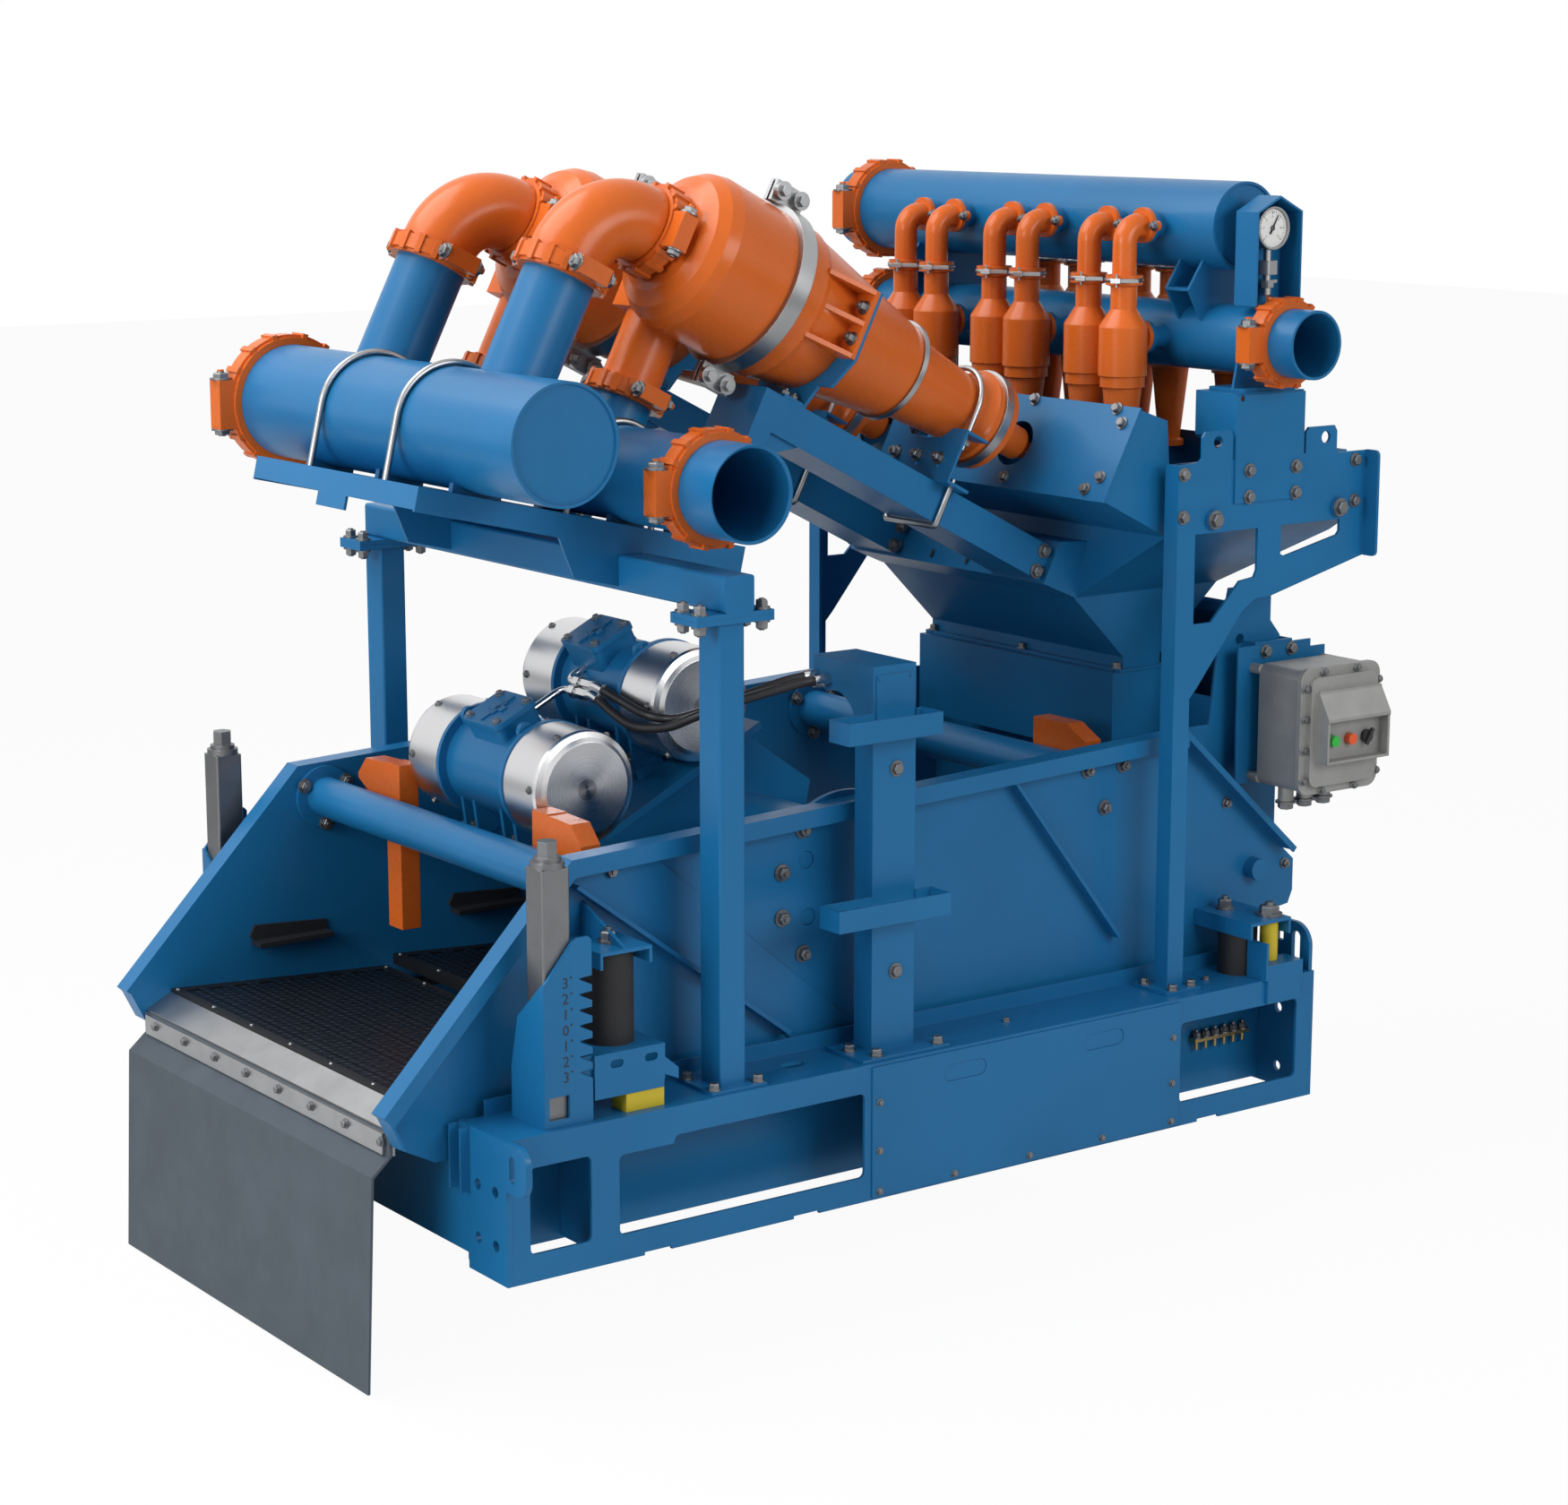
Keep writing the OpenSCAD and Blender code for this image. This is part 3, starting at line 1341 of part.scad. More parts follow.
// pressure gauge
module gauge_guard() {
  x0 = bank_x - 75;
  x1 = bank_x + 75;
  color([0.15, 0.41, 0.63]) {
    difference() {
      xz(-760, 76) polygon([[x0, 1985], [x1, 1985], [x1, 2236], [bank_x, 2274], [x0, 2236]]);
      xz(-761, 72) polygon([[x0 + 5, 1980], [x1 - 5, 1980], [x1 - 5, 2233], [bank_x, 2268], [x0 + 5, 2233]]);
      rod_y(bank_x, bank_feed_z, -800, 0, desilter_feed_d / 2 + 31);
    }
    translate([bank_x, -700, 1921]) difference() {
      translate([0, 0, 60]) cylinder(h = 90, r = 12);
      rotate([90, 0, 0]) cylinder(h = 100, r = desilter_feed_d / 2, center = true);
    }
  }
}

module pressure_gauge() {
  gx = bank_x - 12;
  color([0.66, 0.67, 0.68]) {
    difference() {
      rod_y(gx, 2196, -752, -716, gauge_d / 2);
      rod_y(gx, 2196, -753, -744, gauge_d / 2 - 5);
    }
    rod_y(gx, 2196, -746.5, -744, 2.5);
    rod_z(gx, -730, 2071, 2146, 10);
    translate([gx, -730, 2084]) cylinder(h = 34, r = 26, $fn = 6);
    translate([gx, -730, 2052]) cylinder(h = 19, r = 18, $fn = 6);
    difference() {
      rod_z(gx, -730, 1990, 2052, 12);
      rod_y(bank_x, bank_feed_z, -800, 0, desilter_feed_d / 2 + 31);
    }
    difference() {
      box(gx - 12, bank_x + 12, -742, -692, 2063, 2071);
      rod_z(bank_x, -700, 2050, 2080, 12);
    }
  }
}

module gauge_needle() {
  gx = bank_x - 12;
  color([0.08, 0.08, 0.08]) difference() {
    translate([gx, -746.5, 2196]) rotate([90, 0, 0]) linear_extrude(1.5) rotate([0, 0, 60]) union() {
      polygon([[-16, -2.5], [36, -0.8], [36, 0.8], [-16, 2.5]]);
      circle(6);
    }
    rod_y(gx, 2196, -760, -740, 2.5 + control_gap);
  }
}

// control box
box_x0 = 1143;
box_x1 = 1420;
box_z0 = 782;
box_z1 = 1106;

module control_bracket() {
  color([0.15, 0.41, 0.63]) {
    difference() {
      box(box_x0 - 36, box_x1 - 8, -616, -610, box_z0 + 4, box_z1 + 34);
      box(box_x1 - 60, box_x1, -617, -609, box_z1 + 14, box_z1 + 40);
    }
    difference() {
      box(1170, 1300, -610, -564, 1060, 1146);
      box(1177, 1293, -604, -570, 1050, 1150);
    }
    box(1170, 1300, -610, -564, 830, 900);
    for (x = [1200, 1290]) {
      translate([x, -616, box_z1 + 16]) rotate([90, 0, 0]) bolt(11, 14);
    }
  }
}

module control_box() {
  color([0.58, 0.58, 0.57]) {
    for (x = [box_x0 + 16, box_x1 - 16], z = [box_z0 + 22, box_z1 - 22]) {
      rod_y(x, z, -650, -616, 13);
    }
    difference() {
      union() {
        xz(-790, 140) rrect(box_x0 + 6, box_x1 - 6, box_z0 + 6, box_z1 - 6, 26);
        xz(-806, 16) rrect(box_x0, box_x1, box_z0, box_z1, 34);
        xz(-822, 16) rrect(box_x0 + 22, box_x1 - 22, box_z0 + 22, box_z1 - 22, 24);
        // sloped hood over the controls
        xz(-834, 12) rrect(1182, 1400, 868, 1050, 6);
        yz(1182, 7) polygon([[-830, 1044], [-830, 870], [-866, 870], [-866, 980]]);
        yz(1393, 7) polygon([[-830, 1044], [-830, 870], [-866, 870], [-866, 980]]);
        yz(1182, 218) polygon([[-830, 1050], [-830, 1038], [-868, 974], [-868, 984]]);
        box(1182, 1400, -866, -830, 868, 875);
      }
      for (x = [1225, 1285]) {
        rod_y(x, 922, -840, -800, button_d / 2 + control_gap);
      }
      rod_y(1345, 922, -840, -812, 10 + control_gap);
      rod_y(1345, 922, -840, -835.4, 17 + control_gap);
    }
    for (z = [box_z0 + 40, box_z0 + 118, box_z0 + 198, box_z0 + 276]) {
      translate([box_x0 + 10, -806, z]) rotate([90, 0, 0]) cylinder(h = 9, r = 10);
      translate([box_x1 - 10, -806, z]) rotate([90, 0, 0]) cylinder(h = 9, r = 10);
    }
    for (x = [box_x0 + 75, box_x0 + 190], z = [box_z0 + 10, box_z1 - 10]) {
      translate([x, -806, z]) rotate([90, 0, 0]) cylinder(h = 9, r = 10);
    }
    for (x = [1190, 1255, 1320]) {
      rod_z(x, -715, box_z0 - 30, box_z0 + 6, 20);
      translate([x, -715, box_z0 - 46]) cylinder(h = 16, r = 16, $fn = 6);
    }
  }
}

module push_button(x) {
  rod_y(x, 922, -852, -808, button_d / 2);
}

module start_button() {
  color([0.15, 0.62, 0.22]) push_button(1225);
}

module stop_button() {
  color([0.80, 0.20, 0.08]) push_button(1285);
}

module switch_knob() {
  color([0.10, 0.10, 0.11]) {
    rod_y(1345, 922, -846, -812, 10);
    rod_y(1345, 922, -846, -836, 17);
    translate([1345, -846, 922]) rotate([90, 30, 0]) translate([-5, -22, 0]) cube([10, 44, 8]);
  }
}

base_side_near();
base_side_far();
base_front_plate();
base_rear_plate();
base_cross_members();
base_cover_panels();
earth_bar();
jack_legs();
jack_brackets();
buffer_seats();
rubber_buffers();
buffer_brackets();
shipping_spacers();
basket_side_near();
basket_side_far();
basket_stiffeners();
cross_tubes();
motor_beam();
screen_panels();
hold_down_angles();
clamp_posts();
discharge_lip();
discharge_flap();
feed_box();
motor_bodies();
motor_covers();
hose_fittings();
motor_hoses();
cable_tower();
portal_posts();
portal_beam();
header_tray();
header_straps();
overflow_header();
feed_header();
risers();
desander_elbows();
desander_heads();
desander_cones();
cone_bands();
pipe_couplings();
cone_saddles();
cone_carriers();
hopper();
hopper_lid();
chute();
rear_frame_near();
rear_frame_far();
rear_frame_ties();
desilter_headers();
desilter_cones();
desilter_elbows();
gauge_guard();
pressure_gauge();
gauge_needle();
control_bracket();
control_box();
start_button();
stop_button();
switch_knob();
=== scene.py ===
# %% [markdown]
# # A mud cleaner: vibrating screen, two sloping desander cones, twelve small desilter cones
# The drilling mud runs through big orange cyclones, the dirt falls on a shaking screen,
# and the clean mud leaves through the blue headers. The CAD model already has every
# plate and pipe. This lesson gives it its looks: paints, steels and rubbers, and the
# small repeated hardware, such as bolts, screen tiles and dial marks.

# %% Load the frame
import bpy
import bmesh
import json
from math import cos, pi, radians, sin
from mathutils import Matrix, Vector


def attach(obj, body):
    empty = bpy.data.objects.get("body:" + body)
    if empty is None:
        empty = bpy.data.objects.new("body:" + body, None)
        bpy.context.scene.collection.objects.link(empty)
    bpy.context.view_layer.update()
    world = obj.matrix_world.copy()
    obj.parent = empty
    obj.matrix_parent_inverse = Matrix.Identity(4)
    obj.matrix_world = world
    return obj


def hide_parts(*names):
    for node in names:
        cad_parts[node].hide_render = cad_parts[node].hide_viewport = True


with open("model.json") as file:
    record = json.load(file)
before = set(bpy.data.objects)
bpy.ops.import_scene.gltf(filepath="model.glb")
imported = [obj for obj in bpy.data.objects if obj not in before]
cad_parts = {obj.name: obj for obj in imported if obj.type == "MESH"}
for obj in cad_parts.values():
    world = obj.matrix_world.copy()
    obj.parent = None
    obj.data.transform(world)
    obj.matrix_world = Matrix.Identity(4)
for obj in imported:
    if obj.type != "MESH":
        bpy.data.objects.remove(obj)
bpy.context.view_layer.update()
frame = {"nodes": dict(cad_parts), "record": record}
MM = 0.001


# %% Two helpers for the whole lesson
def put_in_scene(name, data):
    """A new object, linked to the scene."""
    thing = bpy.data.objects.new(name, data)
    bpy.context.scene.collection.objects.link(thing)
    return thing


def feed(links, socket, value):
    """Gives an input a wire if the value is another node's output, or else the value itself."""
    if isinstance(value, bpy.types.NodeSocket):
        links.new(value, socket)
    else:
        socket.default_value = value


# %% [markdown]
# ## The camera
# The picture is taken from the discharge corner, a little above the machine, with a long
# lens, so upright edges stay almost parallel. The place was found by matching the corners
# of the base, the posts and the pipe ends with the photograph. No shift and no roll.

# %% Camera
camera_data = bpy.data.cameras.new("camera")
camera_data.sensor_width = 36
camera_data.lens = 77.34
camera_data.clip_end = 60
camera = put_in_scene("camera", camera_data)
camera.location = (-4.7628, -6.7394, 2.5590)
camera.rotation_euler = (radians(78.637), 0, radians(-35.998))
bpy.context.scene.camera = camera
print("camera", tuple(round(c, 2) for c in camera.location), "lens", camera_data.lens)

# %% [markdown]
# ## The motor hoses
# Two black rubber hoses take the power cables from the motors' terminal boxes to the
# post beside the basket. Each is held at both ends, so it hangs in a long sag. A curve
# with a round bevel is the natural tool: the curve is the hose's own centreline. The
# route points are the CAD's, and a smooth curve is run through them.

# %% Hose routes, in millimetres
HOSE_D = 22
UPPER_ROUTE = [(-480, -70, 1130), (-480, -100, 1130), (-482, -190, 1114), (-485, -300, 1098),
               (-450, -345, 1090), (-420, -400, 1105), (-330, -490, 1155), (-260, -535, 1185),
               (-215, -555, 1195), (-195, -555, 1195)]
LOWER_ROUTE = [(-500, -80, 1112), (-500, -110, 1112), (-502, -180, 1088), (-508, -270, 1070),
               (-490, -330, 1070), (-470, -390, 1082), (-440, -450, 1112), (-360, -530, 1155),
               (-245, -588, 1188), (-215, -595, 1190), (-195, -595, 1190)]


def smooth_route(points, steps=4):
    """Points of a smooth curve through the route, in metres."""
    p = [Vector(q) * MM for q in points]
    line = []
    for i in range(len(p) - 1):
        a, b, c, d = p[max(i - 1, 0)], p[i], p[i + 1], p[min(i + 2, len(p) - 1)]
        for k in range(steps):
            t = k / steps
            m0, m1 = (c - a) / 2, (d - b) / 2
            line.append(b * (2 * t**3 - 3 * t**2 + 1) + m0 * (t**3 - 2 * t**2 + t)
                        + c * (3 * t**2 - 2 * t**3) + m1 * (t**3 - t**2))
    return line + [p[-1]]


def length_of(line):
    return sum((b - a).length for a, b in zip(line, line[1:]))


print("routes of", len(UPPER_ROUTE), "and", len(LOWER_ROUTE), "points")


# %% Make the hoses
def round_curve(name, line, radius, resolution):
    """A round bar along points in metres; its radius is in millimetres."""
    data = bpy.data.curves.new(name, "CURVE")
    data.dimensions = "3D"
    data.bevel_depth = radius * MM
    data.bevel_resolution = resolution
    data.use_fill_caps = True
    spline = data.splines.new("POLY")
    spline.points.add(len(line) - 1)
    for point, at in zip(spline.points, line):
        point.co = (*at, 1)
    return data


def hose(name, route):
    """A hose as a curve, and its centreline."""
    line = smooth_route(route)
    piece = put_in_scene(name, round_curve(name, line, HOSE_D / 2, resolution=4))
    print(name, "is", round(length_of(line), 3), "m long")
    return piece, line


upper_hose, upper_line = hose("motor_hose_upper", UPPER_ROUTE)
lower_hose, lower_line = hose("motor_hose_lower", LOWER_ROUTE)

# %% [markdown]
# ## A small kit for materials
# Every finish starts from one Principled shader. Patterns read Object coordinates, which
# are metres on the machine itself, so a pattern neither slides nor turns with the view.
# One helper makes the material, another makes a noise of a given grain size.

# %% Material helpers
MATERIALS = {}


class Finish:
    """One material, its nodes and its shader."""

    def __init__(self, name):
        self.material = bpy.data.materials.new(name)
        self.material.use_nodes = True
        self.nodes = self.material.node_tree.nodes
        self.links = self.material.node_tree.links
        self.shader = self.nodes["Principled BSDF"]
        self.place = self.nodes.new("ShaderNodeTexCoord").outputs["Object"]
        MATERIALS[name] = self.material
        print("finish", name)

    def add(self, kind, **inputs):
        node = self.nodes.new(kind)
        for key, value in inputs.items():
            feed(self.links, node.inputs[key.replace("_", " ")], value)
        return node

    def noise(self, grain, detail=3, stretch=(1, 1, 1)):
        """A noise whose patches are about grain metres across."""
        mapped = self.add("ShaderNodeMapping", Vector=self.place, Scale=stretch)
        return self.add("ShaderNodeTexNoise", Vector=mapped.outputs["Vector"],
                        Scale=1 / grain, Detail=detail).outputs["Fac"]

    def ramp(self, value, stops):
        """A colour ramp; stops are (place, colour)."""
        node = self.add("ShaderNodeValToRGB", Fac=value)
        while len(node.color_ramp.elements) < len(stops):
            node.color_ramp.elements.new(0.5)
        for element, (at, colour) in zip(node.color_ramp.elements, stops):
            element.position = at
            element.color = (*colour, 1)
        return node.outputs["Color"]

    def patches(self, colour, grain, detail, dark, light, start=0.3):
        """The colour in soft patches between a darker and a lighter shade of itself."""
        stops = [(start, shade(colour, dark)), (1 - start, shade(colour, light))]
        self.wire("Base Color", self.ramp(self.noise(grain, detail), stops))

    def between(self, value, low, high):
        """Spreads a 0..1 value over a range."""
        node = self.add("ShaderNodeMapRange", Value=value, To_Min=low, To_Max=high)
        return node.outputs["Result"]

    def bump(self, height, depth, strength, under=None):
        """A bump of some depth in metres, on top of another normal if there is one."""
        node = self.add("ShaderNodeBump", Height=height, Strength=strength, Distance=depth)
        if under is not None:
            self.links.new(under, node.inputs["Normal"])
        return node.outputs["Normal"]

    def soft_edges(self, radius):
        """Rounds the look of sharp edges, as a thick coat of paint does."""
        node = self.add("ShaderNodeBevel", Radius=radius)
        node.samples = 4
        return node.outputs["Normal"]

    def wire(self, socket, output):
        self.links.new(output, self.shader.inputs[socket])

    def set(self, **values):
        for key, value in values.items():
            self.shader.inputs[key.replace("_", " ")].default_value = value


def shade(colour, factor):
    return tuple(min(c * factor, 1) for c in colour)


# %% [markdown]
# ## Paint
# The steelwork is powder coated: a thick, smooth, half-glossy coat. It is never quite
# flat: large soft patches differ a little in tone, and the surface has a fine orange
# peel. The coat also rounds every sharp edge, which catches the light as a thin line.

# %% Paint finishes
def paint(name, colour, gloss=0.34, peel=0.00006, edge=0.0022):
    f = Finish(name)
    f.patches(colour, grain=0.45, detail=4, dark=0.90, light=1.08, start=0.25)
    f.wire("Roughness", f.between(f.noise(0.03, 4), gloss - 0.05, gloss + 0.08))
    f.wire("Normal", f.bump(f.noise(0.0035, 2), peel, 0.5, f.soft_edges(edge)))
    f.set(Coat_Weight=0.05, Coat_Roughness=0.12, Specular_IOR_Level=0.26)


paint("blue_paint", (0.009, 0.140, 0.330))
paint("orange_paint", (0.640, 0.128, 0.016), gloss=0.26)
paint("yellow_paint", (0.62, 0.47, 0.03), gloss=0.42)
paint("black_paint", (0.022, 0.024, 0.028), gloss=0.36)
print("paints", sorted(MATERIALS))


# %% Hammered grey of the cast switch box
def hammered(name, colour, dimples_per_metre=260):
    f = Finish(name)
    dimples = f.add("ShaderNodeTexVoronoi", Vector=f.place, Scale=dimples_per_metre)
    dimples.feature = "SMOOTH_F1"
    f.patches(colour, grain=0.06, detail=3, dark=0.92, light=1.06)
    f.wire("Roughness", f.between(f.noise(0.02, 3), 0.40, 0.52))
    f.wire("Normal", f.bump(dimples.outputs["Distance"], 0.0003, 0.35, f.soft_edges(0.003)))
    f.set(Metallic=0.35)


hammered("grey_paint", (0.31, 0.31, 0.30))

# %% [markdown]
# ## Bare metals
# Four kinds show besides the motor covers: dull zinc on the jack legs and bolts, bright
# zinc on the hose fittings, brushed steel on the clamps and the discharge edge, and a
# brass earth bar. Brushing is a noise that may be stretched along one direction. It
# changes the roughness and a very small bump.

# %% Metal finishes
def metal(name, colour, rough, grain, stretch=(1, 1, 1), scratch=0.00003, spread=0.10, edge=0.0015):
    f = Finish(name)
    brushed = f.noise(grain, 5, stretch)
    f.patches(colour, grain=0.08, detail=4, dark=0.88, light=1.05)
    f.wire("Roughness", f.between(brushed, rough - spread, rough + spread))
    f.wire("Normal", f.bump(brushed, scratch, 0.5, f.soft_edges(edge)))
    f.set(Metallic=1.0)


metal("zinc_steel", (0.20, 0.205, 0.212), 0.42, grain=0.012)
metal("steel", (0.36, 0.365, 0.37), 0.32, grain=0.004, stretch=(1, 1, 8))
metal("bright_zinc", (0.62, 0.63, 0.64), 0.22, grain=0.004, scratch=0.00001, spread=0.05)
metal("brass", (0.50, 0.36, 0.16), 0.38, grain=0.006)
print("metals made")

# %% [markdown]
# The motor covers are faced on a lathe. Its tool leaves fine rings round the motor's axis,
# so the end of a cover shines in a fan, as a pan lid does. The shader has anisotropy for
# this, and its tangent must run along the rings: it is the cross product of the arm from
# the motor's axis and the axis itself. The small disc in the middle is a little darker.

# %% Turned steel of the motor covers
MOTORS = ((-649, 939), (-322, 1100))
RINGS_PER_METRE = 700


def turned_steel(name, colour, hub=0.026, rim=0.0005):
    """Steel with lathe rings round each motor's axis; the hub's radius is in metres."""
    f = Finish(name)

    def vector_math(operation, *values):
        node = f.nodes.new("ShaderNodeVectorMath")
        node.operation = operation
        for socket, value in zip(node.inputs, values):
            feed(f.links, socket, value)
        return node.outputs

    first, second = (Vector((x, 0, z)) * MM for x, z in MOTORS)
    second_motor = f.nodes.new("ShaderNodeMath")
    second_motor.operation = "GREATER_THAN"
    second_motor.inputs[1].default_value = (first.x + second.x) / 2
    x = f.add("ShaderNodeSeparateXYZ", Vector=f.place).outputs["X"]
    f.links.new(x, second_motor.inputs[0])
    which = second_motor.outputs["Value"]
    centre = vector_math("MULTIPLY_ADD", which, second - first, first)["Vector"]
    arm = vector_math("SUBTRACT", f.place, centre)["Vector"]
    ring = vector_math("CROSS_PRODUCT", arm, (0, 1, 0))["Vector"]
    radius = vector_math("LENGTH", ring)["Value"]
    rings = f.nodes.new("ShaderNodeTexNoise")
    rings.noise_dimensions = "1D"
    rings.inputs["Scale"].default_value = RINGS_PER_METRE
    f.links.new(radius, rings.inputs["W"])
    f.wire("Base Color", f.ramp(radius, [(hub - rim, shade(colour, 0.55)), (hub + rim, colour)]))
    f.wire("Roughness", f.between(rings.outputs["Fac"], 0.16, 0.34))
    f.wire("Normal", f.soft_edges(0.0015))
    f.wire("Tangent", ring)
    f.set(Metallic=1.0, Anisotropic=0.75)


turned_steel("polished_steel", (0.70, 0.70, 0.71))

# %% [markdown]
# ## Rubbers and plastics
# The flap is a matt grey rubber sheet, the buffers are black rubber, and the hoses have a
# smoother black cover. Rubber has no coat and a grainy bump. The buttons are plain glossy
# plastic, and the dial and its marks are printed.

# %% Soft finishes
def rubber(name, colour, rough, grain, depth):
    f = Finish(name)
    f.patches(colour, grain=0.12, detail=5, dark=0.88, light=1.10)
    f.wire("Roughness", f.between(f.noise(0.04, 4), rough - 0.05, rough + 0.08))
    f.wire("Normal", f.bump(f.noise(grain, 3), depth, 0.6))
    f.set(Specular_IOR_Level=0.35)


rubber("rubber", (0.016, 0.016, 0.018), 0.60, 0.004, 0.0004)
rubber("hose_rubber", (0.018, 0.018, 0.020), 0.40, 0.003, 0.0002)
rubber("flap_rubber", (0.058, 0.075, 0.094), 0.62, 0.002, 0.0001)
rubber("screen_gap", (0.004, 0.005, 0.007), 0.55, 0.004, 0.0002)


def plastic(name, colour, rough):
    f = Finish(name)
    f.patches(colour, grain=0.02, detail=3, dark=0.94, light=1.0)
    f.wire("Roughness", f.between(f.noise(0.006, 3), rough - 0.03, rough + 0.05))
    f.set(Specular_IOR_Level=0.5)


plastic("green_plastic", (0.03, 0.48, 0.06), 0.28)
plastic("red_plastic", (0.80, 0.10, 0.02), 0.28)
plastic("black_plastic", (0.022, 0.022, 0.024), 0.42)
plastic("dial_white", (0.80, 0.80, 0.78), 0.45)
# This black is the print of the dial and scale marks, and also the painted shade in the slots of
# the cross beam.
plastic("black_print_and_shade", (0.015, 0.015, 0.016), 0.50)

# %% [markdown]
# ## The screen cloth
# The screens are a fine woven wire cloth bonded to a punched plate. Close up there are
# two sets of wires, one along and one across. Two wave textures, crossed, give the weave
# in the bump and paint shade into the gaps between the wires.

# %% Woven wire finish
BANDS_PER_SCALE = 20


def woven(name, pitch):
    """Wires at a pitch in metres, along X and across along Y."""
    f = Finish(name)
    fine = 1 / (pitch * BANDS_PER_SCALE)
    along = f.add("ShaderNodeTexWave", Vector=f.place, Scale=fine)
    along.bands_direction = "X"
    across = f.add("ShaderNodeTexWave", Vector=f.place, Scale=fine)
    across.bands_direction = "Y"
    mixed = f.add("ShaderNodeMath", Value=along.outputs["Fac"])
    mixed.operation = "MULTIPLY"
    f.links.new(across.outputs["Fac"], mixed.inputs[1])
    weave = mixed.outputs["Value"]
    # The first colour is painted shade between the wires; the second is the wires' own dark colour.
    gap_shade, wire_top = (0.004, 0.006, 0.010), (0.035, 0.040, 0.050)
    f.wire("Base Color", f.ramp(weave, [(0.0, gap_shade), (0.8, wire_top)]))
    f.wire("Roughness", f.between(f.noise(0.05, 4), 0.36, 0.55))
    f.wire("Normal", f.bump(weave, 0.0008, 0.7))
    f.set(Metallic=0.7)


woven("black_screen", 0.004)
print(len(MATERIALS), "finishes in all")

# %% [markdown]
# ## Dress the CAD parts
# The record names a finish for every part. Each CAD object only gets its material
# swapped in its slots. Its mesh and place stay as they came.

# %% Give every CAD part its finish
slot_of = {part["node"]: part["material_slot"] for part in frame["record"]["subparts"]}
looks = {"screen_panels": "screen_gap", "hose_fittings": "bright_zinc"}
for node, piece in frame["nodes"].items():
    finish = MATERIALS[looks.get(node, slot_of[node])]
    if not piece.material_slots:
        piece.data.materials.append(finish)
    for place in piece.material_slots:
        place.material = finish
print("dressed", len(slot_of), "CAD parts")


# %% Finish the hoses
def declare_hose(piece):
    piece.data.materials.append(MATERIALS["hose_rubber"])
    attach(piece, "unit")
    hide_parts("motor_hoses")


declare_hose(upper_hose)
declare_hose(lower_hose)

# %% [markdown]
# ## A kit for Geometry Nodes
# A bolt, a wire or a dial mark is drawn once in a node tree and set on many points. The
# points are a small mesh, and what differs from one to the next travels with them as
# attributes. A helper runs the tree and keeps the plain mesh that comes out.

# %% Node tree helpers
class Recipe:
    """A Geometry Nodes tree with named inputs for its sizes."""

    def __init__(self, name, **sizes):
        self.tree = bpy.data.node_groups.new(name, "GeometryNodeTree")
        sockets = self.tree.interface.new_socket
        sockets("Geometry", in_out="INPUT", socket_type="NodeSocketGeometry")
        for label, value in sizes.items():
            sockets(label, in_out="INPUT", socket_type="NodeSocketFloat").default_value = value
        sockets("Material", in_out="INPUT", socket_type="NodeSocketMaterial")
        sockets("Geometry", in_out="OUTPUT", socket_type="NodeSocketGeometry")
        self.inputs = self.tree.nodes.new("NodeGroupInput").outputs
        self.end = self.tree.nodes.new("NodeGroupOutput")
        print("recipe:", name)

    def add(self, kind, setup=None, **values):
        node = self.tree.nodes.new(kind)
        for key, value in (setup or {}).items():
            setattr(node, key, value)
        for key, value in values.items():
            feed(self.tree.links, node.inputs[key.replace("_", " ")], value)
        return node

    def carried(self, name, kind="FLOAT"):
        """An attribute that the points carry."""
        node = self.add("GeometryNodeInputNamedAttribute", {"data_type": kind}, Name=name)
        return node.outputs["Attribute"]

    def calc(self, operation, a, b):
        """One operation on two values, by the name that the Math node has for it."""
        node = self.add("ShaderNodeMath", {"operation": operation})
        for socket, value in zip(node.inputs, (a, b)):
            feed(self.tree.links, socket, value)
        return node.outputs["Value"]

    def vector(self, x, y, z):
        return self.add("ShaderNodeCombineXYZ", X=x, Y=y, Z=z).outputs["Vector"]

    def shifted(self, shape, offset, turn=(0, 0, 0)):
        """The mesh that a node makes, turned and then moved."""
        return self.add("GeometryNodeTransform", Geometry=shape.outputs["Mesh"],
                        Translation=offset, Rotation=turn).outputs["Geometry"]

    def cylinder(self, sides, radius, depth, base=0.0):
        """A closed cylinder that stands on base."""
        shape = self.add("GeometryNodeMeshCylinder", Vertices=sides, Radius=radius, Depth=depth)
        middle = self.calc("ADD", self.calc("MULTIPLY", depth, 0.5), base)
        return self.shifted(shape, self.vector(0.0, 0.0, middle))

    def joined(self, *parts):
        node = self.tree.nodes.new("GeometryNodeJoinGeometry")
        for part in parts:
            self.tree.links.new(part, node.inputs["Geometry"])
        return node.outputs["Geometry"]

    def on_points(self, shape, axis="Z", **size):
        """Ends the recipe: a copy on every point, its axis along the aim that the point carries."""
        facing = self.add("FunctionNodeAlignRotationToVector", {"axis": axis},
                          Vector=self.carried("aim", "FLOAT_VECTOR"))
        copies = self.add("GeometryNodeInstanceOnPoints", Points=self.inputs["Geometry"],
                          Instance=shape, Rotation=facing.outputs["Rotation"], **size)
        real = self.add("GeometryNodeRealizeInstances", Geometry=copies.outputs["Instances"])
        dressed = self.add("GeometryNodeSetMaterial", Geometry=real.outputs["Geometry"],
                           Material=self.inputs["Material"])
        self.tree.links.new(dressed.outputs["Geometry"], self.end.inputs["Geometry"])
        return self


# %% From a recipe to a piece
def keep(name, mesh, slot, finish=None):
    """Makes a mesh a piece of the machine; the finish is the slot's own unless it is given."""
    piece = put_in_scene(name, mesh)
    if not mesh.materials:
        mesh.materials.append(MATERIALS[finish or slot])
    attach(piece, "unit")
    print(name, "has", len(mesh.polygons), "faces")


def plain_mesh(holder):
    """The plain mesh that an object ends up with; the object itself goes."""
    graph = bpy.context.evaluated_depsgraph_get()
    mesh = bpy.data.meshes.new_from_object(holder.evaluated_get(graph))
    bpy.data.objects.remove(holder)
    return mesh


